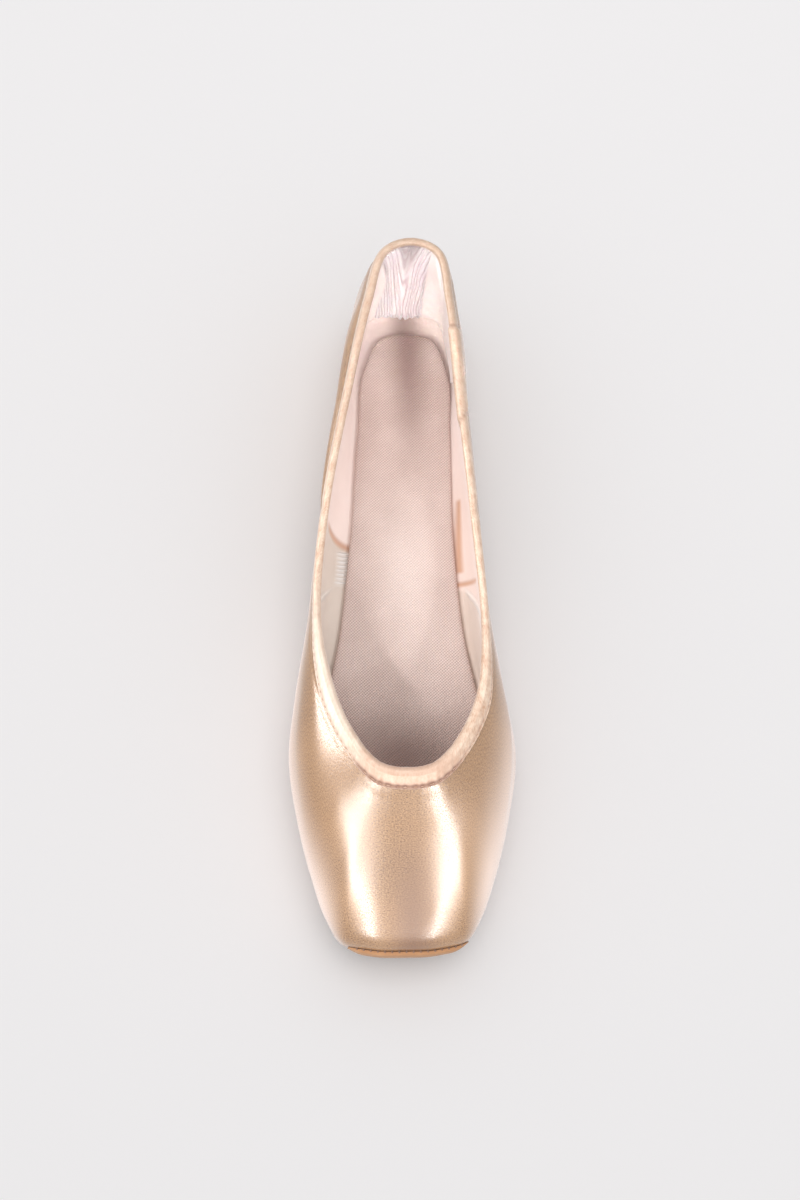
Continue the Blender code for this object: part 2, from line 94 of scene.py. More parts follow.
LOWER_FULLNESS = [3.4, 3.4, 3.2, 2.8, 2.6, 2.4, 2.3, 2.3, 2.3, 2.4, 2.4, 2.4, 2.4, 2.4]
# The shoulder, where the side turns in towards the collar
SHOULDER_HEIGHT = [
    27.0, 27.0, 27.27, 29.7, 33.66, 36.99, 37.41, 37.41, 36.62, 35.02, 38.21, 41.54, 43.28, 44.15,
]
SHOULDER_LEAN = [1, 1, 0.9, 0.6, 0.2, 0, 0, 0, 0, 0, 0, 0, 0, 0]
UPPER_FULLNESS = [6.5, 6.3, 5.0, 3.6, 2.9, 2.5, 2.2, 2.1, 2.0, 2.0, 2.0, 2.0, 2.0, 2.0]
# The collar's raw edge
COLLAR_HALF = [0, 5.0, 9.63, 13.38, 17.19, 21.38, 24.59, 26.6, 27.2, 25.02, 19.4, 13.75, 9.3, 0]
COLLAR_ALONG = [
    0, 0.0023, 0.0125, 0.0319, 0.0621, 0.1065, 0.1606, 0.2318, 0.3314, 0.4909, 0.71, 0.8895, 0.9784, 1,
]
COLLAR_HEIGHT = [
    45.5, 45.41, 45.14, 44.65, 43.9, 42.94, 41.97, 40.94, 40.09, 40.32, 45.02, 53.02, 56.68, 57.2,
]
COLLAR_SWAY = [0.4, 0.4, 0.4, 0.5, 0.6, 0.6, 0.4, -0.4, -1.1, -1.4, -0.9, 0.05, 0.6, 0.6]
# The sole's edge, and how far the insole reaches to the side wall
SOLE_HALF = [0, 7.21, 12.99, 17.23, 21.41, 24.8, 26.5, 24.59, 18.6, 14.0, 15.2, 17.0, 11.73, 0]
SOLE_ALONG = [
    0, 0.003, 0.0162, 0.0417, 0.0905, 0.1671, 0.2529, 0.3457, 0.4571, 0.6056, 0.795, 0.905, 0.977, 1,
]
INSOLE_REACH = [0.6, 0.6, 0.6, 0.62, 0.64, 0.66, 0.66, 0.66, 0.68, 0.72, 0.76, 0.56, 0.24, 0.06]

LAST_STATION = len(WIDEST_HALF) - 1
LOOP = list(range(LAST_STATION + 1)) + list(range(LAST_STATION - 1, 0, -1))
SIDE_SIGN = np.where(np.arange(len(LOOP)) <= LAST_STATION, 1.0, -1.0)
TOE_FACE = -LENGTH / 2 + TOE_PATCH_THICKNESS + CLEARANCE
UPPER_LENGTH = LENGTH / 2 - TOE_FACE
SOLE_FRONT = -LENGTH / 2 + SOLE_TOE_SETBACK
SOLE_LENGTH = LENGTH - SOLE_TOE_SETBACK - SOLE_HEEL_SETBACK
UP = np.array([0.0, 0.0, 1.0])
TURN = 2 * np.pi
# How finely legs are measured and creases are followed
LEG_SAMPLES, CREASE_SAMPLES = 81, 25
# Rings of the upper: under the foot, up the side, over the shoulder's turn, and on to the collar
UNDER_STEPS, SIDE_STEPS, TURN_STEPS, TOP_STEPS = 2, 22, 12, 26
LEVELS_BELOW_TOP = np.concatenate([
    np.linspace(-2, -1, UNDER_STEPS, endpoint=False),
    np.linspace(-1, 0, SIDE_STEPS, endpoint=False),
    np.linspace(0, 0.5, TURN_STEPS, endpoint=False),
])


def unit(vectors):
    return vectors / np.linalg.norm(vectors, axis=-1, keepdims=True)


def smooth_step(value, low, high):
    share = np.clip((value - low) / (high - low), 0, 1)
    return share * share * (3 - 2 * share)


def bell(value, middle, spread):
    return np.exp(-(((value - middle) / spread) ** 2))


def floor_height(along):
    """Height of the sole's underside over the floor, at a place along the shoe."""
    share = (along - SOLE_FRONT) / SOLE_LENGTH
    spring = TOE_SPRING * np.clip(1 - share / FOREFOOT_FRONT, 0, None) ** 2
    arch_share = np.clip((share - FOREFOOT_BACK) / (HEEL_FRONT - FOREFOOT_BACK), 0, 1)
    return spring + ARCH_RISE * np.sin(np.pi * arch_share) ** 2


def swing(points):
    """The heel's lean to +X, which every piece follows."""
    swung = points.copy()
    swung[..., 0] += HEEL_SWING * smooth_step(points[..., 1], 0, LENGTH / 2)
    return swung


class Ribs(NamedTuple):
    """The points that steer every rib of one sheet."""

    margin: np.ndarray
    feather: np.ndarray
    corner: np.ndarray
    widest: np.ndarray
    shoulder: np.ndarray
    collar: np.ndarray


class Last:
    """The shoe's shape, read at a number of ribs from each station to the next."""

    def __init__(self, ribs_per_station):
        self.share = np.arange(ribs_per_station)[None, :] / ribs_per_station
        self.count = ribs_per_station * len(LOOP)
        self.wall = self.read(WALL) * MM
        self.lower_fullness = self.read(LOWER_FULLNESS)
        self.upper_fullness = self.read(UPPER_FULLNESS)
        self.insole_reach = self.read(INSOLE_REACH)
        sole_along = SOLE_FRONT + SOLE_LENGTH * self.read(SOLE_ALONG)
        self.sole_edge = self.place(self.read(SOLE_HALF, True) * MM, sole_along, floor_height(sole_along))
        widest = self.place(
            (self.read(WIDEST_HALF, True) + self.read(WIDEST_SWAY)) * MM,
            TOE_FACE + UPPER_LENGTH * self.read(WIDEST_ALONG),
            self.read(WIDEST_HEIGHT) * MM,
        )
        opening_length = LENGTH - VAMP_LENGTH - HEEL_INCURVE
        collar = self.place(
            (self.read(COLLAR_HALF, True) + self.read(COLLAR_SWAY)) * MM,
            -LENGTH / 2 + VAMP_LENGTH + opening_length * self.read(COLLAR_ALONG),
            self.read(COLLAR_HEIGHT) * MM,
        )
        self.level_out = self.outward(widest)
        margin = self.sole_edge - LASTING_MARGIN * self.outward(self.sole_edge)
        margin[:, 2] = floor_height(margin[:, 1]) + SOLE_THICKNESS + CLEARANCE
        feather = self.sole_edge + UP * (SOLE_THICKNESS + CLEARANCE)
        corner = self.place(widest[:, 0], widest[:, 1], feather[:, 2])
        shoulder = self.place(widest[:, 0], widest[:, 1], self.read(SHOULDER_HEIGHT) * MM)
        shoulder = shoulder - self.level_out * (PLATFORM_LEAN * self.read(SHOULDER_LEAN))[:, None]
        self.outer = Ribs(margin, feather, corner, widest, shoulder, collar)
        self.collar_rise = unit(collar - shoulder)
        along = unit(np.roll(collar, -1, 0) - np.roll(collar, 1, 0))
        self.collar_out = unit(np.cross(along, self.collar_rise))

    def read(self, column, sided=False):
        """A column as a smooth closed curve through the stations, read at every rib."""
        half = np.array(WIDEST_HALF)[LOOP] * SIDE_SIGN * MM
        along = np.array(WIDEST_ALONG)[LOOP] * UPPER_LENGTH
        gaps = np.hypot(np.roll(half, -1) - half, np.roll(along, -1) - along)
        before = np.roll(gaps, 1)
        values = np.array(column, float)[LOOP] * (SIDE_SIGN if sided else 1.0)
        rises = (np.roll(values, -1) - values) / gaps
        slopes = (np.roll(rises, 1) * gaps + rises * before) / (gaps + before)
        onward, onward_slopes, share = np.roll(values, -1), np.roll(slopes, -1), self.share
        read = (
            values[:, None] * (1 + 2 * share) * (1 - share) ** 2
            + onward[:, None] * (3 - 2 * share) * share**2
            + (slopes * gaps)[:, None] * share * (1 - share) ** 2
            + (onward_slopes * gaps)[:, None] * (share - 1) * share**2
        )
        return read.reshape(-1)

    def place(self, across, along, height):
        return np.column_stack([across, along, height])

    def outward(self, loop):
        """Level normals of a loop, pointing out of the shoe."""
        return unit(np.cross(np.roll(loop, -1, 0) - np.roll(loop, 1, 0), UP))

    def inset(self, inset, collar_inset):
        """The outer sheet moved into the shoe, or out of it where the inset is negative."""
        facing = np.sum(self.level_out * self.collar_out, axis=1)
        mitre = np.sqrt((1 - facing) / (1 + facing))[:, None]
        inset = np.broadcast_to(inset, self.count)[:, None]
        collar_inset = np.broadcast_to(collar_inset, self.count)[:, None]
        sideways, upward = self.level_out * inset, UP * inset
        return Ribs(
            self.outer.margin + upward,
            self.outer.feather + upward,
            self.outer.corner + upward - sideways,
            self.outer.widest - sideways,
            self.outer.shoulder - sideways - upward * mitre,
            self.outer.collar - self.collar_out * collar_inset,
        )

    def within(self, gap):
        """The ribs of a sheet inside the shell, at a gap from its wall."""
        return self.inset(self.wall + gap, QUARTER_WALL + gap)

    def around(self, gap):
        """The ribs of a sheet outside the shell, at a gap from it."""
        return self.inset(-gap, -gap)

    def point(self, ribs, level):
        """Points at a level: -2 at the margin, -1 at the feather line, 0 where widest, 1 at the collar."""
        level = np.broadcast_to(level, self.count)
        under = ribs.margin + (ribs.feather - ribs.margin) * (np.clip(level, -2, -1) + 2)[:, None]
        angle = (np.clip(level, -1, 0) + 1) * np.pi / 2
        out = np.sin(angle) ** (2 / self.lower_fullness)
        rise = 1 - np.clip(np.cos(angle), 0, 1) ** (2 / self.lower_fullness)
        lower = ribs.feather + (ribs.corner - ribs.feather) * out[:, None]
        lower = lower + (ribs.widest - ribs.corner) * rise[:, None]
        angle = np.clip(level, 0, 1) * np.pi / 2
        up = np.sin(angle) ** (2 / self.upper_fullness)
        inward = 1 - np.clip(np.cos(angle), 0, 1) ** (2 / self.upper_fullness)
        upper = ribs.widest + (ribs.shoulder - ribs.widest) * up[:, None]
        upper = upper + (ribs.collar - ribs.shoulder) * inward[:, None]
        return np.where(level[:, None] < -1, under, np.where(level[:, None] < 0, lower, upper))

    def level_at_leg(self, leg):
        """The level at a place on the leg from the collar, at 0, to the shoulder's turn."""
        return np.arccos(np.clip(leg, 0, 1) ** (self.upper_fullness / 2)) / (np.pi / 2)

    def level_below_collar(self, ribs, depth):
        """The level at a distance down from the collar, the same for every rib or one for each."""
        depth = np.broadcast_to(depth, self.count)
        legs = np.linspace(0.0, 1.0, LEG_SAMPLES)
        points = np.array([self.point(ribs, self.level_at_leg(leg)) for leg in legs])
        steps = np.linalg.norm(np.diff(points, axis=0), axis=2)
        distances = np.vstack([np.zeros(self.count), np.cumsum(steps, axis=0)])
        found = [np.interp(depth[rib], distances[:, rib], legs) for rib in range(self.count)]
        return self.level_at_leg(np.array(found))

    def below_collar(self, ribs, depth):
        return self.point(ribs, self.level_below_collar(ribs, depth))

    def sheet(self, ribs):
        """Rings of points from the margin up to the collar."""
        legs = 0.5 ** (1 / self.upper_fullness) * np.linspace(1, 0, TOP_STEPS + 1)[:, None]
        levels = (*LEVELS_BELOW_TOP, *self.level_at_leg(legs))
        return np.array([self.point(ribs, level) for level in levels])


def facing(grid, closed=True):
    """Outward normals of a grid of points whose rows run round the shoe."""
    if closed:
        onward = np.roll(grid, -1, 1) - np.roll(grid, 1, 1)
    else:
        onward = np.gradient(grid, axis=1)
    return unit(np.cross(onward, np.gradient(grid, axis=0)) + 1e-15)


def distance_round(grid):
    """Distance round each row from its middle column on one side, and back on the other."""
    steps = np.linalg.norm(np.diff(grid, axis=1), axis=2)
    travelled = np.concatenate([np.zeros((len(grid), 1)), np.cumsum(steps, axis=1)], axis=1)
    total = travelled[:, -1:] + np.linalg.norm(grid[:, :1] - grid[:, -1:], axis=2)
    return np.where(travelled > total / 2, travelled - total, travelled)


def distance_down(grid):
    """Distance down each column from the last row."""
    steps = np.linalg.norm(np.diff(grid, axis=0), axis=2)[::-1]
    return np.concatenate([np.zeros((1, grid.shape[1])), np.cumsum(steps, axis=0)])[::-1]


class Crease(NamedTuple):
    """A soft trough, or a ridge where the height is positive, on a bent line over the surface, in mm."""

    start: tuple
    middle: tuple
    end: tuple
    width: float
    height: float


def crease_height(points, creases):
    """How far the creases lift or sink each point. Both are in mm."""
    lift = np.zeros(points.shape[:-1])
    for crease in creases:
        start, middle, end = (np.array(place) for place in (crease.start, crease.middle, crease.end))
        nearest = np.full(lift.shape, 1e9)
        share_there = np.zeros(lift.shape)
        for share in np.linspace(0, 1, CREASE_SAMPLES):
            place = start * (1 - share) ** 2 + middle * 2 * share * (1 - share) + end * share**2
            away = np.linalg.norm(points - place, axis=-1)
            share_there = np.where(away < nearest, share, share_there)
            nearest = np.minimum(nearest, away)
        taper = np.clip(np.sin(np.pi * (0.06 + 0.88 * share_there)), 0, 1) ** 0.6
        lift += crease.height * taper * bell(nearest, 0, crease.width)
    return lift


def grid_faces(rows, columns, closed_rows, closed_columns):
    """Four-cornered faces of a grid whose rows run round and follow each other upwards."""
    row = np.arange(rows if closed_rows else rows - 1)[:, None]
    column = np.arange(columns if closed_columns else columns - 1)[None, :]
    next_row, next_column = (row + 1) % rows, (column + 1) % columns
    corners = [row * columns + column, row * columns + next_column]
    corners += [next_row * columns + next_column, next_row * columns + column]
    return np.stack([np.broadcast_to(c, (row.size, column.size)) for c in corners], 2).reshape(-1, 4)


def sandwich_faces(rows, columns):
    """Faces of two sheets, the second with its rows turned round, closed along all four edges."""
    faces = [grid_faces(2 * rows, columns, True, False)]
    for row in range(rows - 1):
        for end, order in ((0, 1), (columns - 1, -1)):
            front, back = row * columns + end, (2 * rows - 1 - row) * columns + end
            faces.append(np.array([[front, front + columns, back - columns, back][::order]]))
    return np.concatenate(faces)


def make_piece(name, points, faces, materials, slots=None, cloth=None, facts=None):
    """A smooth-shaded mesh piece with its materials, its cloth coordinates and other facts for its nodes."""
    mesh = bpy.data.meshes.new(name)
    mesh.from_pydata([tuple(p) for p in points.reshape(-1, 3)], [], [tuple(map(int, f)) for f in faces])
    for material in materials:
        mesh.materials.append(material)
    if slots is not None:
        mesh.polygons.foreach_set("material_index", np.asarray(slots, np.int32))
    if cloth is not None:
        level = np.concatenate([cloth, np.zeros((*cloth.shape[:-1], 1))], -1)
        layer = mesh.attributes.new("cloth", "FLOAT_VECTOR", "POINT")
        layer.data.foreach_set("vector", level.astype(np.float32).reshape(-1))
    for label, values in (facts or {}).items():
        layer = mesh.attributes.new(label, "FLOAT", "POINT")
        layer.data.foreach_set("value", np.asarray(values, np.float32).reshape(-1))
    mesh.shade_smooth()
    mesh.update()
    piece = bpy.data.objects.new(name, mesh)
    bpy.context.scene.collection.objects.link(piece)
    return piece


class Wire:
    """One output of a material's nodes. A sum on wires adds its Math nodes to the same material."""

    def __init__(self, tree, output=None):
        self.tree = tree
        self.output = output

    def node(self, kind, settings=None, sockets=None, output=0):
        """Any other node, from its type, its settings and the values or wires of its sockets."""
        made = self.tree.nodes.new(kind)
        for name, value in (settings or {}).items():
            setattr(made, name, value)
        for name, value in (sockets or {}).items():
            if isinstance(value, Wire):
                self.tree.links.new(value.output, made.inputs[name])
            else:
                made.inputs[name].default_value = value
        return Wire(self.tree, made.outputs[output])

    def maths(self, operation, first, second=0.0):
        return self.node("ShaderNodeMath", {"operation": operation}, {0: first, 1: second})

    def __add__(self, other):
        return self.maths("ADD", self, other)

    def __sub__(self, other):
        return self.maths("SUBTRACT", self, other)

    def __rsub__(self, other):
        return self.maths("SUBTRACT", other, self)

    def __mul__(self, other):
        return self.maths("MULTIPLY", self, other)

    def __abs__(self):
        return self.maths("ABSOLUTE", self)

    __radd__ = __add__
    __rmul__ = __mul__

    def wave(self, pitch):
        """Ripples from -1 to 1, one for each pitch."""
        return self.maths("SINE", self * (TURN / pitch))

    def step(self, low, high):
        """A soft step from 0 at low to 1 at high."""
        sockets = {"Value": self, "From Min": low, "From Max": high}
        return self.node("ShaderNodeMapRange", {"interpolation_type": "SMOOTHSTEP"}, sockets)

    def line(self, width):
        """1 where the value is 0, falling to 0 at a distance of the width."""
        return abs(self).step(width, 0.0)

    def parts(self):
        """The X, Y and Z of this place."""
        return [self.node("ShaderNodeSeparateXYZ", None, {0: self}, axis) for axis in range(3)]

    def noise(self, pitch, detail=2.0, stretch=(1, 1, 1)):
        """Noise about 0, from -0.5 to 0.5, with a pitch in metres."""
        size = self.node("ShaderNodeMapping", None, {"Vector": self, "Scale": stretch})
        found = size.node("ShaderNodeTexNoise", None, {"Vector": size, "Scale": 1 / pitch, "Detail": detail})
        return found - 0.5

    def colours(self, first, second):
        """The first colour where this is 0 and the second where it is 1."""
        sockets = {0: self, 6: (*first, 1) if isinstance(first, tuple) else first}
        sockets[7] = (*second, 1) if isinstance(second, tuple) else second
        return self.node("ShaderNodeMix", {"data_type": "RGBA"}, sockets, 2)


def new_material(name, **fixed):
    """A material with what is the same all over, and wires for its own place and cloth."""
    material = bpy.data.materials.new(name)
    material.use_nodes = True
    tree = material.node_tree
    shader = tree.nodes["Principled BSDF"]
    names = {socket.name.lower().replace(" ", "_"): socket for socket in shader.inputs}
    for name, value in fixed.items():
        names[name].default_value = value
    place = Wire(tree).node("ShaderNodeTexCoord", None, None, 3)
    cloth = place.node("ShaderNodeAttribute", {"attribute_name": "cloth"}, None, 1)
    return material, place, cloth


def fact(wire, label):
    """A piece's own number, given at its points."""
    return wire.node("ShaderNodeAttribute", {"attribute_name": label}, None, 2)


def dress(wire, colour, roughness, relief, coat=None):
    """Lead a colour, a roughness, a relief in millimetres and a coat to the material's shader."""
    shader = wire.tree.nodes["Principled BSDF"]
    bump = wire.node("ShaderNodeBump", None, {"Height": relief, "Distance": MM, "Strength": 1.0})
    sources = {"Base Color": colour, "Roughness": roughness, "Normal": bump, "Coat Weight": coat}
    for name, source in sources.items():
        if source is not None:
            wire.tree.links.new(source.output, shader.inputs[name])


SEAM_TOP_ALONG = 26.5 * MM
SEAM_TOP_HEIGHT = 40.0 * MM
SEAM_SLOPE = 0.16
SEAM_WIDTH = 0.7 * MM
BACK_SEAM_ACROSS = 2.7 * MM


def satin_material():
    """Champagne satin: close floats with a metal-like lustre, cut and joined at the sides and back."""
    satin, place, cloth = new_material(
        "champagne satin", metallic=0.2, sheen_weight=0.35, sheen_roughness=0.3,
        sheen_tint=(1.0, 0.9, 0.87, 1.0), coat_roughness=0.23, coat_ior=2.2,
    )
    across, along, height = place.parts()
    cloth_across, cloth_down, _ = cloth.parts()
    grain = cloth.noise(0.00055, 2.0, (1.0, 1.4, 1.0))
    sparkle = cloth.noise(0.00042, 2.0, (1.3, 1.0, 1.0))
    twill = (cloth_across + cloth_down).wave(0.00062)
    cloud = place.noise(0.016, 2.0)
    smudge = place.noise(0.034, 1.0)
    side_seam = (along - (height - SEAM_TOP_HEIGHT) * SEAM_SLOPE - SEAM_TOP_ALONG).line(SEAM_WIDTH)
    side_seam = side_seam * abs(across).step(0.015, 0.018) * along.step(0.06, 0.05)
    back_seam = (across - BACK_SEAM_ACROSS).line(SEAM_WIDTH) * along.step(0.1, 0.104)
    seam = side_seam + back_seam
    # Painted light: the walls of the box and the quarters are painted pale as a painted reflection of the
    # bright room, and painted shade makes the middle and foot of the box darker
    wing, front = abs(across).step(0.018, 0.028), along.step(0.035, -0.035)
    side = (height - across * 0.12).step(0.04, 0.022) * (wing * front - front * 0.35 + 0.35)
    # Painted shade: the foot of the box is painted darker towards the floor; it is also rougher there
    low = height.step(0.016, 0.003)
    # Painted shade: the middle of the box, between the two highlights, is painted darker
    middle = (across - 0.0025).line(0.012) * along.step(-0.068, -0.108) * height.step(0.016, 0.024)
    gold = cloud * 0.25 + smudge * 0.3 + grain * 2.0 + 0.5
    gold = gold.colours((0.115, 0.05, 0.017), (0.45, 0.258, 0.122))
    gold = (side * 0.8).colours(gold, (0.93, 0.76, 0.68))
    gold = (low * 0.35).colours(gold, (0.36, 0.21, 0.12))
    gold = (middle * 0.8).colours(gold, (0.17, 0.078, 0.038))
    gold = (seam * 0.55).colours(gold, (0.27, 0.15, 0.08))
    roughness = grain * 0.24 + cloud * 0.06 + low * 0.1 + 0.32
    relief = grain * 0.006 + twill * 0.004 + cloud * 0.05 - seam * 0.28
    dress(cloth, gold, roughness, relief, sparkle.step(-0.16, 0.14) * 0.8 + 0.2)
    return satin


def lining_material():
    """Lining: pale pink cotton along the quarters, greyer over the paste box in front of its wing's edge."""
    lining, place, cloth = new_material("lining cotton", sheen_weight=0.8, sheen_roughness=0.5)
    across, along, height = place.parts()
    cloth_across, cloth_down, _ = cloth.parts()
    weave = cloth_across.wave(0.0009) * cloth_down.wave(0.0009)
    mottle = place.noise(0.011, 2.0)
    left, right = across.step(-0.01, -0.012), across.step(0.01, 0.012)
    past_tape = 0.022 + (height - 0.0066) * 1.3 - along
    past_wing = 0.007 - (height - 0.008) - along
    tape = past_tape.line(0.0024) * height.step(0.0135, 0.0105) * left
    ledge = (height - 0.008).line(0.0016) * along.step(0.012, 0.0135) * along.step(0.0405, 0.0385)
    bar = (along - 0.0086).line(0.0016) * height.step(0.016, 0.0135)
    strip = tape + (ledge + bar) * right
    ridge = past_wing.line(0.0017) * height.step(0.0075, 0.01)
    front = past_tape.step(0.0, 0.0012) * left + past_wing.step(0.0, 0.0016) * right
    ruche = along.step(0.0075, 0.0095) * along.step(0.0215, 0.0195) * height.step(0.0088, 0.0074) * left
    gathers = along.wave(0.0015)
    # Painted shade: the low recess at the back of the heel, under the heel lining's hem, is painted dark
    recess_shade = along.step(0.101, 0.107) * height.step(0.026, 0.015) * (across - 0.003).line(0.0085)
    pink = (mottle + 0.5).colours((0.88, 0.73, 0.68), (0.96, 0.84, 0.795))
    grey = (mottle + 0.5).colours((0.65, 0.56, 0.49), (0.8, 0.72, 0.65))
    colour = front.colours(pink, grey)
    # Painted shade: the right wall of the lining is painted darker towards the middle of the shoe
    colour = (right * along.step(0.07, 0.035) * 0.4).colours(colour, (0.6, 0.43, 0.35))
    # Painted highlight: the ridge at the wing's edge is painted paler
    colour = (ridge * 0.6).colours(colour, (0.9, 0.85, 0.8))
    colour = (ruche * (gathers * 0.25 + 0.6)).colours(colour, (0.93, 0.9, 0.88))
    colour = (strip * 0.75).colours(colour, (0.54, 0.26, 0.13))
    colour = (recess_shade * 0.8).colours(colour, (0.34, 0.225, 0.2))
    relief = weave * 0.012 + mottle * 0.1 + strip * 0.3 + ridge * 0.5 + ruche * (gathers * 0.18 + 0.3)
    dress(cloth, colour, mottle * 0.1 + 0.72, relief)
    return lining


UPPER_CREASES = [
    # The left quarter swells out under the casing, from the heel to the side seam
    Crease((-18.5, 95, 43), (-25.5, 68, 35.5), (-28.5, 34, 33), 4.6, 2.9),
    Crease((-24, 78, 26), (-29, 52, 22), (-29, 36, 20), 5.0, -0.35),
    # The right quarter, flatter
    Crease((25, 86, 36), (28, 60, 31), (29, 34, 30), 5.0, 0.4),
    # The satin stands up beside the casing at the front right of the opening
    Crease((31.5, -20, 35), (30.5, -36, 38), (24, -48, 41), 5.0, 0.16),
    # A soft fold down the right side of the vamp, and its fainter twin
    Crease((31.5, -30, 35), (34, -52, 33), (32.5, -72, 29), 2.6, 0.65),
    Crease((34.5, -28, 29), (36.5, -50, 27), (34.5, -74, 25), 3.0, -0.4),
    Crease((-35.5, -30, 31), (-37, -50, 28), (-34.5, -74, 25), 3.2, -0.3),
    # Pulls round the joint of vamp and quarter
    Crease((-29, 30, 37), (-31, 22, 28), (-31, 16, 17), 2.2, -0.4),
    Crease((-30, 20, 37), (-33, 12, 28), (-33, 4, 18), 2.6, 0.35),
    Crease((31, 30, 36), (32, 22, 28), (31, 17, 17), 2.4, -0.35),
    Crease((30.5, 19, 37), (33, 11, 28), (33, 3, 18), 2.8, 0.3),
    # Wrinkles across the waist, where the satin is drawn under the arch
    Crease((-31, 24, 12), (-30, 14, 17), (-32, 2, 22), 2.2, 0.3),
    Crease((-30, 38, 10), (-29, 29, 15), (-30, 16, 20), 2.0, -0.28),
    Crease((31, 26, 12), (31, 16, 17), (33, 4, 22), 2.2, 0.3),
    Crease((29, 42, 10), (30, 32, 15), (31, 19, 20), 2.0, -0.28),
    # Soft dents that the last's paste leaves on the vamp
    Crease((-6, -72, 43), (1, -77, 42), (8, -74, 43), 6.0, -0.16),
    Crease((-4, -98, 34), (3, -103, 33), (8, -106, 31), 6.5, -0.14),
    # Drag lines round the back of the heel
    Crease((-8, 112, 20), (2, 117, 27), (12, 113, 24), 3.0, -0.28),
    Crease((-11, 108, 38), (-3, 116, 36), (5, 116.5, 33), 2.8, 0.24),
]
# Lasting pleats: pitch and depth in mm, the ring they are counted on, and their share at the sides and heel
PLEAT_PITCH, PLEAT_DEPTH = 3.7, 0.55
PLEAT_RING = 10
SIDE_PLEATS, HEEL_PLEATS = 0.3, 0.75


def satin_relief(grid, levels):
    """How far the satin stands off its last: the casing's pull, puckers, creases and lasting pleats."""
    along, drop, round_it = grid[..., 1] / MM, distance_down(grid) / MM, distance_round(grid) / MM
    past_casing = np.clip(drop - 5, 0, None)
    trough = bell(drop, 5.5, 0.8)
    ridge = bell(drop, 8.6, 2.0) * smooth_step(along, -5, 30)
    throat = smooth_step(along, -40, -56) * np.exp(-past_casing / 3.2)
    throat_pucker = throat * np.sin(round_it / 3.3 * TURN + 0.8 * np.sin(round_it / 9))
    heel = smooth_step(along, 84, 104) * np.exp(-past_casing / 4.5)
    heel_pucker = heel * np.sin(round_it / 4.1 * TURN)
    lift = 0.22 * ridge - 0.12 * trough + 0.01 * throat_pucker + 0.1 * heel_pucker
    lift = lift * smooth_step(drop, 4.6, 5.6)
    lift += crease_height(grid / MM, UPPER_CREASES) * smooth_step(drop, 5.0, 6.6)
    ring_round = distance_round(grid[[PLEAT_RING]])[0] / MM
    fold = np.abs(np.sin(np.pi * ring_round / PLEAT_PITCH + 0.35 * np.sin(ring_round / 11)))
    fade = smooth_step(levels, -0.34, -0.72)[:, None]
    ends = np.maximum(smooth_step(along, -84, -100), HEEL_PLEATS * smooth_step(along, 92, 106))
    lift += PLEAT_DEPTH * (0.55 - fold**0.7) * fade * np.maximum(ends, SIDE_PLEATS)
    return lift * MM


def lining_relief(grid, levels):
    """How far the lining stands off the wall, at the wing's slanting edge and at the ruche on the left."""
    along, drop = grid[..., 1] / MM, distance_down(grid) / MM
    ahead = (15 - grid[..., 2] / MM - along) / np.sqrt(2)
    wing = smooth_step(ahead, -0.6, 2.2) + bell(ahead, 1.2, 1.8)
    wing = wing * smooth_step(levels, -0.62, -0.35)[:, None] * smooth_step(drop, 5, 8)
    ruche = smooth_step(along, 6, 9) * smooth_step(along, 22, 19) * (grid[..., 0] < 0)
    ruche = ruche * bell(levels, -0.55, 0.16)[:, None] * (0.6 + 0.4 * np.sin(along / 2.3 * TURN))
    return (0.55 * wing + 0.45 * ruche) * MM


upper_last = Last(14)
outside = swing(upper_last.sheet(upper_last.outer))
inside = swing(upper_last.sheet(upper_last.within(0)))
rings = len(outside)
levels = np.concatenate([LEVELS_BELOW_TOP, np.linspace(0.5, 1, TOP_STEPS + 1)])
satin_skin = outside + facing(outside) * satin_relief(outside, levels)[..., None]
lining_skin = inside - facing(inside) * lining_relief(inside, levels)[..., None]
shell = np.concatenate([satin_skin, lining_skin[::-1]])
shell_down = np.concatenate([distance_down(outside), distance_down(inside)[::-1]])
face_rows = np.repeat(np.arange(2 * rings), upper_last.count)
satin_upper = make_piece(
    "satin_upper", shell, grid_faces(2 * rings, upper_last.count, True, True),
    [satin_material(), lining_material()], slots=(face_rows >= rings - 1) & (face_rows < 2 * rings - 1),
    cloth=np.stack([distance_round(shell), shell_down], 2),
)
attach(satin_upper, "root")
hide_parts("upper")


# The binding: a bias strip of apricot satin folded over the raw collar as a casing for the drawstring.
# It is stitched through near its lower edge, draws into small puckers at the throat and heel,
# and its two ends lap on the right side near the heel.
BINDING_DEPTH = 5.0 * MM
BINDING_COVER = 1.1 * MM
STITCH_DEPTH = 4.3 * MM
LAP_FRONT, LAP_BACK = 54.0 * MM, 86.0 * MM
OUTER_DEPTHS = np.array([5.0, 4.9, 4.75, 4.6, 4.45, 4.3, 4.1, 3.7, 3.2, 2.7, 2.1, 1.5, 0.9, 0.4]) * MM
INNER_DEPTHS = np.array([0.5, 1.2, 2.0, 2.8, 3.6, 4.2, 4.6]) * MM
RIM_ANGLES = np.radians(np.linspace(0, 180, 13))
THINNEST_INSIDE = 0.4 * MM


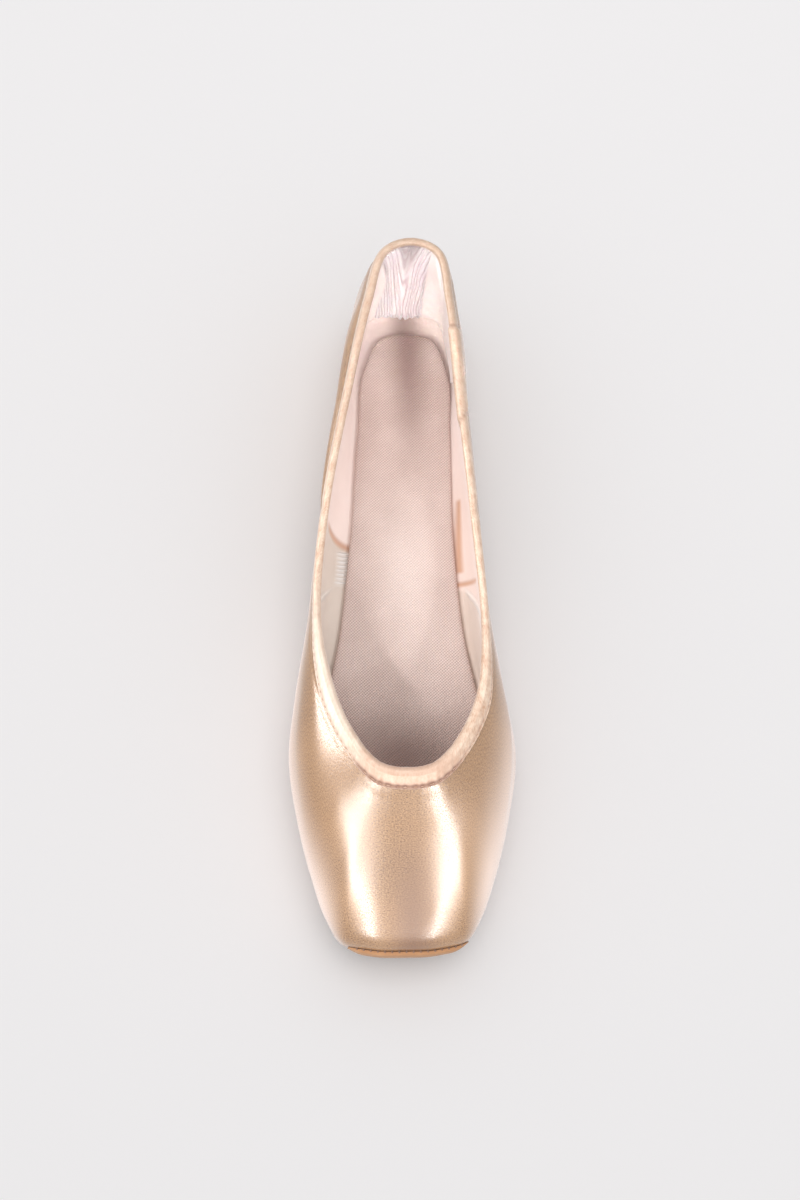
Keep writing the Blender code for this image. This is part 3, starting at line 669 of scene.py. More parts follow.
def casing_material():
    """Apricot satin in folds, with a mottled, softly crushed face, and painted light that makes it creamy at
    the front left.
    """
    casing, place, cloth = new_material(
        "apricot casing", metallic=0.15, sheen_weight=0.5, sheen_roughness=0.4,
        coat_weight=0.5, coat_roughness=0.32,
    )
    across, along, _ = place.parts()
    crush = place.noise(0.0026, 3.0)
    streak = cloth.noise(0.0046, 2.0, (1.0, 3.0, 1.0))
    grain = cloth.noise(0.0006, 3.0)
    front, heel = along.step(-0.049, -0.061), along.step(0.03, 0.09)
    lit = across.step(-0.01, -0.022) * along.step(0.01, -0.025)
    colour = crush * 1.3 + streak * 1.2 + grain * 1.8 + 0.55
    colour = colour.colours((0.46, 0.275, 0.18), (0.68, 0.54, 0.425))
    # Painted shade: the casing is painted darker at the throat's front and at the heel
    colour = (front * 0.6).colours(colour, (0.52, 0.33, 0.24))
    colour = (heel * 0.55).colours(colour, (0.35, 0.24, 0.17))
    # Painted light: the front left of the casing is painted creamy where the left lamp falls on it
    colour = (lit * 0.5).colours(colour, (0.76, 0.66, 0.56))
    # The groove fact lays painted shade along the stitch line
    colour = (fact(place, "groove") * 0.95).colours(colour, (0.17, 0.065, 0.042))
    dress(cloth, colour, crush * 0.14 + 0.46, grain * 0.012 + crush * 0.04 + streak * 0.04)
    return casing


def casing_offset(depth):
    """How far the casing's outside stands off the satin, from its folded edge up to the rim."""
    edge = np.sqrt(np.clip((BINDING_DEPTH + 0.05 * MM - depth) / (0.9 * MM), 0, 1))
    belly = 0.34 * MM * bell(depth, 1.8 * MM, 1.6 * MM)
    groove = (0.52 - 0.3 * slim) * MM * bell(depth, STITCH_DEPTH, 0.42 * MM)
    rim = (outer_cover - 0.62 * MM) * bell(depth, 0.2 * MM, 1.0 * MM)
    return CLEARANCE * 0.6 + 0.3 * MM * (1 - slim) + 0.36 * MM * edge + belly - groove + rim


casing_last = Last(42)
rim_middle = casing_last.outer.collar - casing_last.collar_out * QUARTER_WALL / 2
# The casing is slimmer along the sides and at the heel than at the throat
slim = smooth_step(casing_last.outer.collar[:, 1], -42 * MM, 0.0)
outer_cover, inner_cover = BINDING_COVER - 0.35 * MM * slim, BINDING_COVER - 0.75 * MM * slim
outer_share, inner_share = 1 - 0.38 * slim, 1 - 0.72 * slim
casing_rows = []
for depth in OUTER_DEPTHS:
    over_satin = casing_last.around(casing_offset(depth))
    casing_rows.append(casing_last.below_collar(over_satin, depth * outer_share))
for angle in RIM_ANGLES:
    cover = outer_cover if np.cos(angle) > 0 else inner_cover
    reach_out = (QUARTER_WALL / 2 + cover) * np.cos(angle)
    reach_up = (QUARTER_WALL / 2 + (outer_cover + inner_cover) / 2) * np.sin(angle)
    turned = casing_last.collar_out * reach_out[:, None] + casing_last.collar_rise * reach_up[:, None]
    casing_rows.append(rim_middle + turned)
for depth in INNER_DEPTHS:
    cover = inner_cover - 0.35 * MM * smooth_step(depth, 3.4 * MM, 4.6 * MM)
    under_lining = casing_last.within(np.maximum(cover, THINNEST_INSIDE))
    casing_rows.append(casing_last.below_collar(under_lining, depth * inner_share))
casing_face = swing(np.array(casing_rows))

# A row's depth under the rim, and its place: 0 to 1 outside, 1 to 2 over the rim and 2 to 3 inside
row_depth = np.concatenate([OUTER_DEPTHS, -np.sin(RIM_ANGLES) * 2 * MM, INNER_DEPTHS])[:, None]
row_parts = enumerate((OUTER_DEPTHS, RIM_ANGLES, INNER_DEPTHS))
row_place = np.concatenate([np.linspace(part, part + 1, len(rows)) for part, rows in row_parts])[:, None]
casing_round = distance_round(casing_face)
across, along = casing_face[..., 0], casing_face[..., 1] / MM
round_it = casing_round / MM
throat_pull, heel_pull = smooth_step(along, -30, -56), smooth_step(along, 80, 108)
gather = (
    np.sin(round_it / 2.9 * TURN + 1.3 * np.sin(round_it / 7.5))
    + 0.6 * np.sin(round_it / 4.7 * TURN + row_place * 1.4)
    + 0.4 * np.sin(round_it / 1.9 * TURN + 2.0)
)
near_stitches = bell(row_depth, STITCH_DEPTH, 1.5 * MM) * (row_place <= 1.2) + 0.35
right_side = across > 5 * MM
lap_start, lap_end = LAP_FRONT / MM + 9 * (1 - np.clip(row_place / 2.2, 0, 1)), LAP_BACK / MM
lap = right_side * smooth_step(along, lap_start - 0.5, lap_start + 0.8)
lap = lap * smooth_step(along, lap_end + 0.5, lap_end - 0.5)
notch = bell(along, 27, 2.0) * (row_place <= 1.5)
casing_lift = gather * (0.022 + 0.03 * throat_pull + 0.03 * heel_pull) * near_stitches
casing_lift += 0.6 * lap * (row_place > 0.05) - 0.35 * notch
casing_face = casing_face + facing(casing_face) * np.maximum(casing_lift, -0.3)[..., None] * MM
under, over = casing_last.within(CLEARANCE), casing_last.around(CLEARANCE)
back_rise = casing_last.collar_rise * CLEARANCE
casing_back = swing(np.array([
    casing_last.below_collar(under, 4.6 * MM * inner_share), under.collar + back_rise,
    over.collar + back_rise, casing_last.below_collar(over, 4.9 * MM * outer_share),
]))
casing_points = np.concatenate([casing_face, casing_back])

# Painted shade: the stitch groove is painted dark, most at the throat's front and in the troughs of its
# puckers, and along the edges of the lap
pucker_shade = np.clip(0.5 - gather / 2.4, 0, 1) * (0.35 + 0.65 * throat_pull)
throat_front = smooth_step(along, -55.5, -60)
groove = bell(row_depth, STITCH_DEPTH - 0.1 * MM, 0.85 * MM) * (row_place <= 1.0)
groove = groove * (0.2 + 0.8 * throat_front * (0.6 + 0.4 * pucker_shade))
lap_edges = right_side * (bell(along, lap_end + 0.5, 0.45) + bell(along, lap_start - 0.6, 0.5))
groove = np.clip(groove + 0.55 * lap_edges, 0, 1)
casing_cloth = np.stack([casing_round, np.broadcast_to(row_place * 5 * MM, casing_round.shape)], 2)
binding = make_piece(
    "collar_casing", casing_points, grid_faces(len(casing_points), casing_last.count, True, True),
    [casing_material()], cloth=np.concatenate([casing_cloth, np.zeros((*casing_back.shape[:2], 2))]),
    facts={"groove": np.concatenate([groove, np.zeros(casing_back.shape[:2])])},
)
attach(binding, "root")
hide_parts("binding")


# Stitches: one row of machine thread holds the casing to the upper all the way round.
# Each stitch is a short round bar that sinks into the groove at both ends.
CASING_STITCH_PITCH, HOLE_PITCH = 2.5 * MM, 2.15 * MM
CASING_STITCH_SIZE = (0.62 * MM, 0.17 * MM, 0.15 * MM)
HOLE_SIZE = (0.36 * MM, 0.7 * MM, 0.2 * MM)


def stitch_nodes():
    """A node tree that lays thread stitches along a line of points."""
    tree = bpy.data.node_groups.new("stitch row", "GeometryNodeTree")
    sockets = {"Line": "Geometry", "Pitch": "Float", "Stitch size": "Vector", "Facing": "Vector"}
    for name, kind in sockets.items():
        tree.interface.new_socket(name, in_out="INPUT", socket_type="NodeSocket" + kind)
    tree.interface.new_socket("Stitches", in_out="OUTPUT", socket_type="NodeSocketGeometry")
    given = Wire(tree).node("NodeGroupInput").output.node
    line, pitch, size, face_to = (Wire(tree, given.outputs[name]) for name in sockets)
    curve = line.node("GeometryNodeMeshToCurve", None, {0: line})
    points = curve.node("GeometryNodeResampleCurve", {"mode": "LENGTH"}, {"Curve": curve, "Length": pitch})
    tangent = curve.node("GeometryNodeInputTangent")
    turned = curve.node("FunctionNodeAlignRotationToVector", {"axis": "X"}, {"Vector": tangent})
    turned = curve.node(
        "FunctionNodeAlignRotationToVector", {"axis": "Z", "pivot_axis": "X"},
        {"Rotation": turned, "Vector": face_to},
    )
    bar = curve.node("GeometryNodeMeshUVSphere", None, {"Segments": 6, "Rings": 5, "Radius": 1.0})
    placed = curve.node(
        "GeometryNodeInstanceOnPoints", None,
        {"Points": points, "Instance": bar, "Rotation": turned, "Scale": size},
    )
    real = curve.node("GeometryNodeRealizeInstances", None, {"Geometry": placed})
    end = tree.nodes.new("NodeGroupOutput")
    tree.links.new(real.output, end.inputs[0])
    return tree


stitch_tree = stitch_nodes()


def lay_stitches(name, line, closed, pitch, size, face_to, material):
    """Stitches along a line of points, turned into one plain mesh."""
    mesh = bpy.data.meshes.new(name)
    edges = [(i, (i + 1) % len(line)) for i in range(len(line) if closed else len(line) - 1)]
    mesh.from_pydata([tuple(p) for p in line], edges, [])
    piece = bpy.data.objects.new(name, mesh)
    bpy.context.scene.collection.objects.link(piece)
    row = piece.modifiers.new("stitch row", "NODES")
    row.node_group = stitch_tree
    asked = [item for item in stitch_tree.interface.items_tree if item.in_out == "INPUT"]
    given = {item.name: item.identifier for item in asked}
    for label, value in (("Pitch", pitch), ("Stitch size", size), ("Facing", face_to)):
        row[given[label]] = value
    bpy.context.view_layer.update()
    made = bpy.data.meshes.new_from_object(piece.evaluated_get(bpy.context.evaluated_depsgraph_get()))
    piece.modifiers.remove(row)
    piece.data = made
    made.name = name
    made.shade_smooth()
    made.materials.clear()
    made.materials.append(material)
    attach(piece, "root")
    return piece


def thread_material(name, dark, light):
    """Twisted thread: fine slanted ridges along each stitch."""
    thread, place, _ = new_material(name, sheen_weight=0.3)
    across, along, height = place.parts()
    twist = (across + along + height).wave(0.0005)
    shade = place.noise(0.004, 1.0) + 0.5
    dress(place, shade.colours(dark, light), shade * 0.1 + 0.6, twist * 0.02)
    return thread


casing_thread = thread_material("casing thread", (0.3, 0.165, 0.1), (0.48, 0.3, 0.2))
stitch_row = int(np.argmin(np.abs(OUTER_DEPTHS - STITCH_DEPTH)))
casing_stitches = lay_stitches(
    "casing_stitches", casing_face[stitch_row], True, CASING_STITCH_PITCH, CASING_STITCH_SIZE,
    (0.0, 0.0, 1.0), casing_thread,
)


# The toe patch: a thin piece of apricot suede glued to the flat platform that the dancer stands on.
# Its rim is pared thin, and a row of dark holes along its top edge shows where it was stitched.
PATCH_REACH_LEFT, PATCH_REACH_RIGHT = 1.72, 2.03
PATCH_BOTTOM, PATCH_TOP = 0.52, 0.13
PATCH_END_HEIGHT = 0.22
PATCH_ROWS, PATCH_RIBS_PER_STATION = 27, 36
PARED_ROWS, PARED_END = 1.6, 0.3
BARE_ENDS = 10


def suede_material():
    """Apricot suede: short matt nap, brushed in patches, browner at the rim."""
    suede, place, _ = new_material("apricot suede", sheen_weight=0.05, sheen_roughness=0.6)
    nap = place.noise(0.00045, 4.0)
    brushed = place.noise(0.0055, 2.0)
    colour = (brushed * 1.2 + nap * 0.8 + 0.5).colours((0.25, 0.125, 0.058), (0.39, 0.21, 0.1))
    colour = (fact(place, "rim") * 0.25).colours(colour, (0.3, 0.12, 0.05))
    dress(place, colour, nap * 0.1 + 0.88, nap * 0.06 + brushed * 0.05)
    return suede


patch_last = Last(PATCH_RIBS_PER_STATION)
patch_left = int(round(PATCH_REACH_LEFT * PATCH_RIBS_PER_STATION))
patch_right = int(round(PATCH_REACH_RIGHT * PATCH_RIBS_PER_STATION))
patch_ribs = np.arange(-patch_left, patch_right + 1)
patch_reach = np.abs(patch_ribs) / np.where(patch_ribs < 0, patch_left, patch_right)
oval = PATCH_END_HEIGHT + (1 - PATCH_END_HEIGHT) * np.sqrt(1 - patch_reach**3)
end_fullness = 0.22 + 0.78 * smooth_step(1 - patch_reach, 0, PARED_END)
rows_in = np.minimum(np.arange(PATCH_ROWS), np.arange(PATCH_ROWS)[::-1])
rim_shares = 1 - np.clip(rows_in / PARED_ROWS, 0, 1)
back_sheet = patch_last.around(0.5 * CLEARANCE)
front_sheet = patch_last.around(CLEARANCE + TOE_PATCH_THICKNESS)
patch_back, patch_front = [], []
for level, rim_share in zip(np.linspace(PATCH_BOTTOM - 1, PATCH_TOP, PATCH_ROWS), rim_shares):
    round_levels = np.zeros(patch_last.count)
    round_levels[patch_ribs] = level * oval
    back = patch_last.point(back_sheet, round_levels)[patch_ribs]
    front = patch_last.point(front_sheet, round_levels)[patch_ribs]
    fullness = (0.2 + 0.8 * np.sqrt(1 - rim_share**2)) * end_fullness
    patch_back.append(back)
    patch_front.append(back + (front - back) * fullness[:, None])
patch_grid = swing(np.concatenate([patch_front, patch_back[::-1]]))
rim_fact = np.ones(patch_grid.shape[:2])
rim_fact[:PATCH_ROWS] = rim_shares[:, None]
toe_patch = make_piece(
    "suede_toe_patch", patch_grid, sandwich_faces(PATCH_ROWS, len(patch_ribs)), [suede_material()],
    facts={"rim": rim_fact},
)
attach(toe_patch, "root")
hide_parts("toe_patch")

# The dark bars along the patch's top edge are thread, made darker as painted shade of the needle holes
patch_thread = thread_material("patch stitch holes", (0.085, 0.04, 0.022), (0.19, 0.095, 0.055))
patch_line = patch_grid[PATCH_ROWS - 1, BARE_ENDS:-BARE_ENDS] + np.array([0.0, 0.1, 0.05]) * MM
patch_stitches = lay_stitches(
    "patch_stitches", patch_line, False, HOLE_PITCH, HOLE_SIZE, (0.0, -0.55, 0.83), patch_thread,
)


# The outsole: one narrow piece of tan leather that closes the shell from below.
# It is pasted over the pleated margin, skived at its edge, raised a little at the toe and under the arch.
SOLE_BEVEL, SOLE_TOP_BEVEL = 0.7 * MM, 0.25 * MM
SOLE_COLUMNS = 25
EDGE_SHADE = 1.2 * MM


def sole_material():
    """Sole leather: fine grain, darker burnished edge, light scuffs across the ball and heel."""
    leather, place, _ = new_material("sole leather", coat_weight=0.05, coat_roughness=0.5)
    grain = place.noise(0.0008, 4.0)
    cloud = place.noise(0.02, 3.0)
    scuff = place.noise(0.0024, 3.0, (1.0, 0.12, 1.0))
    worn = scuff.step(0.1, 0.22) * place.parts()[2].step(0.0016, 0.0002)
    colour = (cloud * 1.4 + grain * 0.6 + 0.5).colours((0.4, 0.26, 0.165), (0.56, 0.4, 0.275))
    colour = (worn * 0.4).colours(colour, (0.68, 0.55, 0.42))
    colour = (fact(place, "edge") * 0.5).colours(colour, (0.25, 0.145, 0.08))
    dress(place, colour, worn * 0.15 + grain * 0.1 + 0.62, grain * 0.06 - worn * 0.03 + cloud * 0.08)
    return leather


sole_last = Last(14)
sole_half = sole_last.count // 2


def slab(name, edge_loop, bottom_height, top_height, round_bottom, round_top, material):
    """A flat piece cut to an outline and rounded at its two edges, as rings across it from toe to heel."""
    near, far = edge_loop[: sole_half + 1], np.concatenate([edge_loop[:1], edge_loop[: sole_half - 1: -1]])
    spread = (np.sin(np.linspace(-1, 1, SOLE_COLUMNS) * np.pi / 2)[:, None] + 1) / 2
    flat = far[:, None] * (1 - spread) + near[:, None] * spread
    plan, rim = flat[1:-1, :, :2], edge_loop[:, :2]
    inward = np.full(plan.shape[:2], 1e9)
    for first, second in zip(rim, np.roll(rim, -1, 0)):
        run = second - first
        reach = np.clip(((plan - first) @ run) / (run @ run), 0, 1)
        inward = np.minimum(inward, np.linalg.norm(plan - first - reach[..., None] * run, axis=2))

    def rounded(radius):
        return radius * (1 - np.sqrt(1 - (1 - np.clip(inward / radius, 0, 1)) ** 2))

    low, high = flat[1:-1].copy(), flat[1:-1].copy()
    low[..., 2] = bottom_height(low) + rounded(round_bottom)
    high[..., 2] = np.maximum(top_height(high) - rounded(round_top), low[..., 2])
    # The top and bottom points of the toe's tip, then those of the heel's
    tips = flat[[0, 0, -1, -1], 0]
    tips[::2, 2] = top_height(tips[::2]) - round_top
    tips[1::2, 2] = bottom_height(tips[1::2]) + round_bottom
    across = np.concatenate([high, low[:, ::-1]], 1)
    rows, columns = across.shape[:2]
    points = np.concatenate([across.reshape(-1, 3), tips])
    faces = list(grid_faces(rows, columns, False, True))
    for start, tip in ((0, rows * columns), ((rows - 1) * columns, rows * columns + 2)):
        for column in range(columns):
            onward = (column + 1) % columns
            ends = (tip + (onward >= SOLE_COLUMNS), tip + (column >= SOLE_COLUMNS))
            faces.append((start + column, start + onward, *dict.fromkeys(ends)))
    edge = np.exp(-inward / EDGE_SHADE)
    edge = np.append(np.concatenate([edge, edge[:, ::-1]], 1), np.ones(len(tips)))
    piece = make_piece(name, swing(points), faces, [material], cloth=points[:, :2], facts={"edge": edge})
    turned = bmesh.new()
    turned.from_mesh(piece.data)
    bmesh.ops.recalc_face_normals(turned, faces=turned.faces)
    turned.to_mesh(piece.data)
    turned.free()
    return piece


outsole = slab(
    "leather_outsole", sole_last.sole_edge,
    lambda points: floor_height(points[..., 1]),
    lambda points: floor_height(points[..., 1]) + SOLE_THICKNESS,
    SOLE_BEVEL, SOLE_TOP_BEVEL, sole_material(),
)
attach(outsole, "root")
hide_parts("outsole")


# The insole: a flat foam sock covered in pinkish beige twill, glued over the margin.
# It lies a little to the right, up against that wall. Its heel seat is darker, and painted shade darkens its
# front.
INSOLE_THICKNESS = 2.6 * MM
INSOLE_OFFSET = 1.2 * MM
INSOLE_HOLLOW = 0.35 * MM
INSOLE_ROUND_BELOW, INSOLE_ROUND_ABOVE = 0.3 * MM, 1.0 * MM


def insole_material():
    """Close twill over foam: slanting ribs, darker in the heel seat, and darker under the throat as painted
    shade.
    """
    twill_cloth, place, _ = new_material("insole twill", sheen_weight=0.35, sheen_roughness=0.45)
    across, along, _ = place.parts()
    rib = (across - along * 1.15).wave(0.00115)
    float_yarn = (across * 1.1 + along).wave(0.0011)
    dots = rib * 0.6 + float_yarn * 0.4
    mottle = place.noise(0.013, 2.0)
    heel_seat = (across - 0.0042).line(0.0105) * along.step(0.036, 0.098)
    # Painted shade: the insole's front, under the throat, is painted darker
    throat_shade = along.step(-0.03, -0.052) * (across - 0.001).line(0.03)
    # Painted highlight: a paler patch down the middle of the insole, a painted sheen
    painted_sheen = (across - 0.002).line(0.015) * (along - 0.016).line(0.042)
    colour = (mottle * 0.8 + dots * 0.75 + 0.5).colours((0.52, 0.385, 0.35), (0.84, 0.7, 0.66))
    colour = (painted_sheen * 0.45).colours(colour, (0.83, 0.72, 0.68))
    colour = (heel_seat * 0.72).colours(colour, (0.255, 0.155, 0.135))
    colour = (throat_shade * 0.78).colours(colour, (0.25, 0.155, 0.135))
    colour = (fact(place, "edge") * 0.25).colours(colour, (0.4, 0.27, 0.23))
    dress(place, colour, mottle * 0.08 + 0.62, dots * 0.085 + mottle * 0.1)
    return twill_cloth


snug = sole_last.within(CLEARANCE)
rise_share = INSOLE_THICKNESS / (snug.widest[:, 2] - snug.feather[:, 2])
angle = np.arccos((1 - rise_share) ** (sole_last.lower_fullness / 2))
wall_side = sole_last.point(snug, angle / (np.pi / 2) - 1)
insole_edge = snug.margin + (wall_side - snug.margin) * sole_last.insole_reach[:, None]
insole_edge[:, 0] += INSOLE_OFFSET
edge_along, edge_wall = insole_edge[: sole_half + 1, 1], sole_last.wall[: sole_half + 1]
base_heights = floor_height(edge_along) + SOLE_THICKNESS + 2 * CLEARANCE + edge_wall


def insole_base(points):
    return np.interp(points[..., 1], edge_along, base_heights)


def insole_top(points):
    """The foam's face, pressed a little hollow along its middle."""
    hollow = INSOLE_HOLLOW * bell(points[..., 0], INSOLE_OFFSET, 11 * MM)
    return insole_base(points) + INSOLE_THICKNESS - hollow


insole = slab(
    "twill_insole", insole_edge, insole_base, insole_top, INSOLE_ROUND_BELOW, INSOLE_ROUND_ABOVE,
    insole_material(),
)
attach(insole, "root")
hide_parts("insole")


# The heel lining: a loose panel of thin cloth sewn in under the casing and left free at its hem.
# Its middle is gathered into fine strands that run down from a V under the casing, between two smooth sides.
GRIP_REACH = 7 / 3
GRIP_HEM = 0.5
GRIP_SLACK = 4.0 * MM
GRIP_FALL = 7.0 * MM
GRIP_THICKNESS = 1.0 * MM
GRIP_CLOTH_DEPTH = 45.0 * MM
GRIP_ROWS, GRIP_RIBS_PER_STATION = 31, 36
BACK_FROM = 92.0 * MM
FOLD_PITCH, FINE_FOLD_PITCH = 2.35, 1.3
V_DEPTH = 0.5


def heel_lining_material():
    """Thin pale cloth: lavender white where gathered, warmer pink where it lies smooth."""
    thin_cloth, place, cloth = new_material("gathered heel lining", sheen_weight=1.0, sheen_roughness=0.5)
    strand = fact(place, "strand") * MM
    gather = fact(place, "gathered")
    wander = place.noise(0.006, 2.0, (1.0, 1.0, 0.25))
    thread = (strand + wander * 0.0022).wave(0.00105)
    fine = (strand + wander * 0.003).wave(0.00062)
    cloth_across, cloth_down, _ = cloth.parts()
    weave = cloth_across.wave(0.0008) * cloth_down.wave(0.0008)
    mottle = place.noise(0.009, 2.0)
    smooth = (mottle + 0.5).colours((0.93, 0.82, 0.78), (0.98, 0.9, 0.87))
    crinkled = thread * 0.44 + fine * 0.28 + mottle * 0.5 + 0.6
    crinkled = crinkled.colours((0.68, 0.57, 0.59), (1.0, 0.97, 0.975))
    colour = gather.colours(smooth, crinkled)
    colour = fact(place, "shade").colours(colour, (0.3, 0.205, 0.205))
    relief = gather * (thread * 0.1 + fine * 0.05) + weave * 0.008 + mottle * 0.06
    dress(cloth, colour, mottle * 0.1 + 0.74, relief)
    return thin_cloth


def pared(down):
    """The panel's thickness as a share: it is thin where it is sewn in under the casing."""
    return 0.35 + 0.65 * smooth_step(down, 0, 0.15)


def there_and_back(values):
    return np.concatenate([values, values[::-1]])


grip_last = Last(GRIP_RIBS_PER_STATION)
heel_rib, grip_half = grip_last.count // 2, int(round(GRIP_REACH * GRIP_RIBS_PER_STATION))
grip_ribs = np.arange(heel_rib - grip_half, heel_rib + grip_half + 1)
away = np.abs(grip_ribs - heel_rib) / grip_half
slack = np.zeros(grip_last.count)
slack[grip_ribs] = GRIP_SLACK * (1 - smooth_step(away, 0.24, 0.6)) + GRIP_FALL * bell(away, 0, 0.27)
grip_down = np.linspace(0, 1, GRIP_ROWS)
grip_rows = []
for share in grip_down:
    steering = grip_last.within(CLEARANCE + slack * share**2 + GRIP_THICKNESS * pared(share))
    top = grip_last.level_below_collar(steering, 0.25 * MM)
    grip_rows.append(grip_last.point(steering, top + (GRIP_HEM - 1 - top) * share)[grip_ribs])
foot_sheet = swing(np.array(grip_rows))

# In mm: the gathered middle between its edges, the V under the casing, and the strands that fan from it
down = np.broadcast_to(grip_down[:, None], foot_sheet.shape[:2])
grip_across = foot_sheet[..., 0] / MM
back_facing = foot_sheet[..., 1] > BACK_FROM
right_edge = 9.8 - 1.4 * down
left_edge = -8.0 + 3.2 * bell(down, 0.42, 0.26)
middle = smooth_step(grip_across, left_edge - 0.2, left_edge + 0.5) * back_facing
middle = middle * smooth_step(grip_across, right_edge + 0.15, right_edge - 0.15)
from_v = grip_across - (2.8 - 1.6 * down)
v_half = 4.2 * np.clip(V_DEPTH - down, 0, 1) / V_DEPTH
in_v = smooth_step(np.abs(from_v), v_half + 0.4, v_half - 1.2) * (v_half > 0.2)
strand = grip_across - np.tanh(from_v / 1.2) * 5.5 * np.clip(0.8 - down, 0, 1) ** 1.3
folds = np.sin(strand / FOLD_PITCH * TURN + 0.9 * np.sin(strand * 0.9) + 1.5 * down)
folds += 0.5 * np.sin(strand / FINE_FOLD_PITCH * TURN + 2.2 * np.sin(down * 3.0 + strand * 0.4))
fan = middle * (1 - in_v) * smooth_step(down, 0.02, 0.16)
grip_lift = 0.26 * folds * fan + 0.55 * (1 - middle) * smooth_step(down, 0.05, 0.25) - 0.25 * in_v * down
grip_lift += 0.5 * bell(grip_across, left_edge + 2.2, 1.3) * bell(down, 0.2, 0.12) * back_facing
grip_lift += 0.35 * smooth_step(down, 0.93, 0.985)
sag = 0.7 * np.sin(strand / FOLD_PITCH * TURN) * fan * smooth_step(down, 0.85, 1.0)
toward_foot = facing(foot_sheet, closed=False)
toward_foot = toward_foot * -np.sign(toward_foot[:, grip_half, 1].mean())
foot_sheet = foot_sheet + toward_foot * np.maximum(grip_lift, -0.2)[..., None] * MM
foot_sheet[..., 2] -= sag * MM
wall_sheet = foot_sheet - toward_foot * 0.75 * GRIP_THICKNESS * pared(down)[..., None]
grip_grid = np.concatenate([wall_sheet, foot_sheet[::-1]])
fold_shadow = bell(grip_across, left_edge + 0.5, 0.55) * smooth_step(down, 0.02, 0.1)
fold_shadow = fold_shadow * smooth_step(down, 0.42, 0.3) + 0.5 * bell(grip_across, right_edge - 0.15, 0.35)
shade = np.clip(0.85 * in_v * (1 - 0.8 * down / V_DEPTH) + 0.6 * fold_shadow * back_facing, 0, 0.85)
shade = np.maximum(shade, 0.3 * smooth_step(down, 0.1, 0.0))
grip_facts = {"strand": strand, "gathered": middle, "shade": shade}
heel_lining = make_piece(
    "heel_lining", grip_grid, sandwich_faces(GRIP_ROWS, len(grip_ribs))[:, ::-1], [heel_lining_material()],
    cloth=np.stack([distance_round(grip_grid), there_and_back(down) * GRIP_CLOTH_DEPTH], 2),
    facts={label: there_and_back(values) for label, values in grip_facts.items()},
)
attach(heel_lining, "root")
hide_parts("heel_grip")


# The stage: a pale floor and room, and two long strips of light over the vamp, each in two parts.
# Softer lamps stand to the left and one reaches the heel. Only the top lamp lights the floor too.
# The camera looks down on the shoe from over its toe, a little from the left.
FLOOR_HALF = 3.0
FLOOR_NEAR, FLOOR_FAR = (0.905, 0.897, 0.9), (0.925, 0.917, 0.92)
ROOM_COLOUR, ROOM_STRENGTH = (0.93, 0.925, 0.93, 1.0), 0.84
WARM_WHITE, WHITE = (1.0, 0.985, 0.965), (1.0, 0.985, 0.98)
STRIP_WIDTH = 0.055
LEFT_BEND, RIGHT_BEND = (-0.27, -0.95, 0.98), (0.36, -0.98, 0.95)
VAMP, HEEL_SEAT = (0.0, -0.06, 0.03), (0.004, 0.105, 0.027)
CAMERA_PLACE = (-0.0222, -0.10775, 0.477)
CAMERA_AIM = (0.0466, 0.23, -0.9732)
CAMERA_LENS, CAMERA_SENSOR = 41.55, 36.0


def add_light(name, start, end, width, power, colour, lit, aim=VAMP, spread=180.0):
    """A strip of light from one end to the other, turned to the aim. It lights the pieces given, or all."""
    light = bpy.data.lights.new(name, "AREA")
    light.shape = "RECTANGLE"
    run = Vector(end) - Vector(start)
    light.size, light.size_y = width, run.length
    light.energy = power
    light.color = colour
    light.spread = np.radians(spread)
    lamp = bpy.data.objects.new(name, light)
    middle = (Vector(start) + Vector(end)) / 2
    along = run.normalized()
    across = along.cross(middle - Vector(aim)).normalized()
    turn = Matrix((across, along, across.cross(along))).transposed().to_4x4()
    lamp.matrix_world = Matrix.Translation(middle) @ turn
    bpy.context.scene.collection.objects.link(lamp)
    if lit:
        lamp.light_linking.receiver_collection = lit


floor_material, floor_place, _ = new_material("pale floor", specular_ior_level=0.1)
paper = floor_place.noise(0.9, 1.0)
floor_colour = floor_place.parts()[1].step(-0.36, 0.2).colours(FLOOR_NEAR, FLOOR_FAR)
dress(floor_place, floor_colour, paper * 0.02 + 0.9, paper * 0.001)
floor_corners = FLOOR_HALF * np.array([(-1, -1, 0), (1, -1, 0), (1, 1, 0), (-1, 1, 0)], float)
floor = make_piece("floor", floor_corners, [(0, 1, 2, 3)], [floor_material])

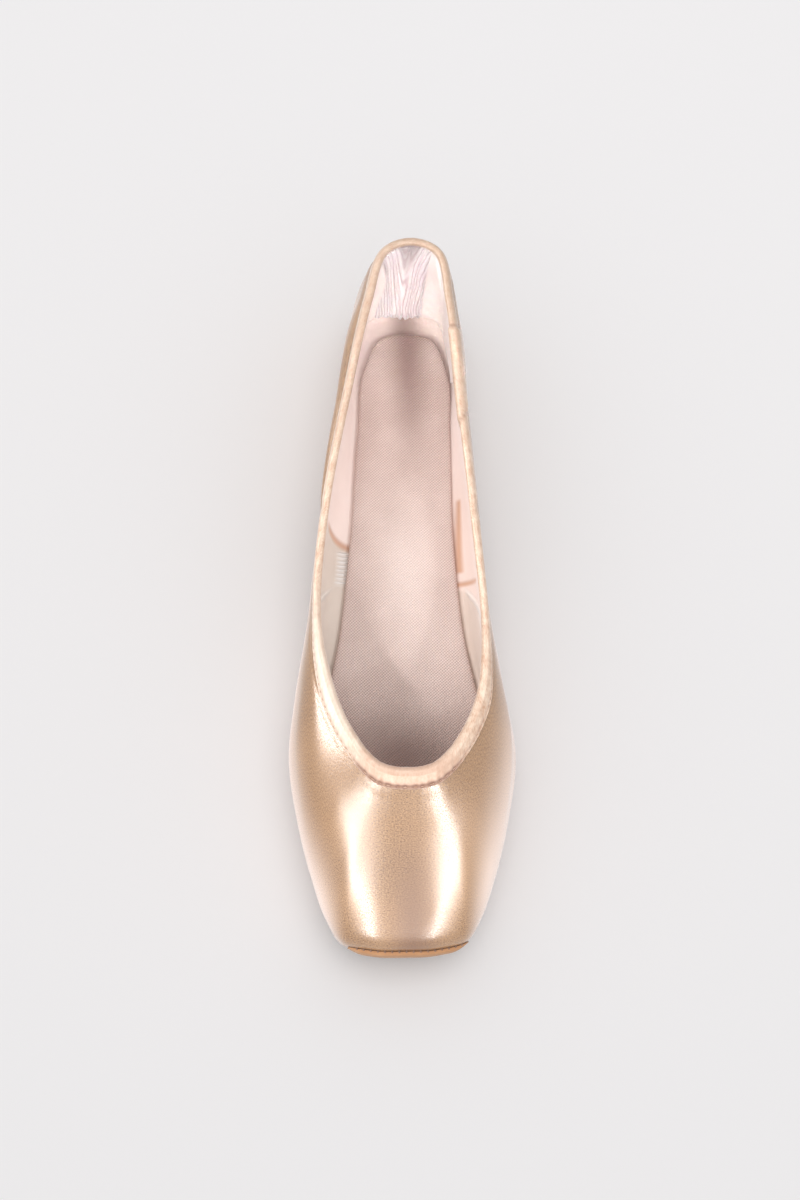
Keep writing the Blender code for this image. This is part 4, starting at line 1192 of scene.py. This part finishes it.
shoe_only, outside_only = bpy.data.collections.new("shoe only"), bpy.data.collections.new("outside only")
for thing in bpy.data.objects:
    if thing.type == "MESH" and thing.name != floor.name:
        shoe_only.objects.link(thing)
        if thing.name not in ("twill_insole", "heel_lining"):
            outside_only.objects.link(thing)
for name, start, end, power, lit in (
    ("left strip, over", (-0.64, -0.52, 1.08), LEFT_BEND, 4.3, shoe_only),
    ("left strip, front", LEFT_BEND, (-0.24, -1.3, 0.52), 3.5, outside_only),
    ("right strip, over", (0.52, -0.56, 1.08), RIGHT_BEND, 3.7, shoe_only),
    ("right strip, front", RIGHT_BEND, (0.26, -1.3, 0.52), 3.0, outside_only),
):
    add_light(name, start, end, STRIP_WIDTH, power, WARM_WHITE, lit)
add_light("left side strip", (-1.22, 0.12, 0.55), (-0.7, -0.12, 1.14), 0.2, 6.5, WHITE, shoe_only)
add_light("left back strip", (-1.15, 0.68, 0.06), (-1.0, 0.62, 0.8), 0.3, 3.0, WHITE, outside_only)
add_light(
    "heel box", (-0.02, -0.55, 0.75), (0.03, -0.55, 0.75), 0.04, 0.004, WHITE, shoe_only,
    aim=HEEL_SEAT, spread=3.0,
)
add_light("top", (-0.4, 0.3, 1.5), (0.6, 0.3, 1.5), 0.7, 4.0, WHITE, None)

room = bpy.data.worlds.new("pale room")
room.use_nodes = True
background = room.node_tree.nodes["Background"]
background.inputs["Color"].default_value = ROOM_COLOUR
background.inputs["Strength"].default_value = ROOM_STRENGTH
bpy.context.scene.world = room

camera = bpy.data.objects.new("camera", bpy.data.cameras.new("camera"))
camera.data.sensor_width, camera.data.lens = CAMERA_SENSOR, CAMERA_LENS
camera.data.clip_start, camera.data.clip_end = 0.01, 20.0
look_back = -Vector(CAMERA_AIM).normalized()
look_right = Vector((1.0, 0.0, 0.0)) - look_back * look_back.x
look_right.normalize()
turn = Matrix((look_right, look_back.cross(look_right), look_back)).transposed().to_4x4()
camera.matrix_world = Matrix.Translation(CAMERA_PLACE) @ turn
bpy.context.scene.collection.objects.link(camera)
bpy.context.scene.camera = camera
bpy.context.scene.view_settings.view_transform = "Standard"

bpy.context.view_layer.update()
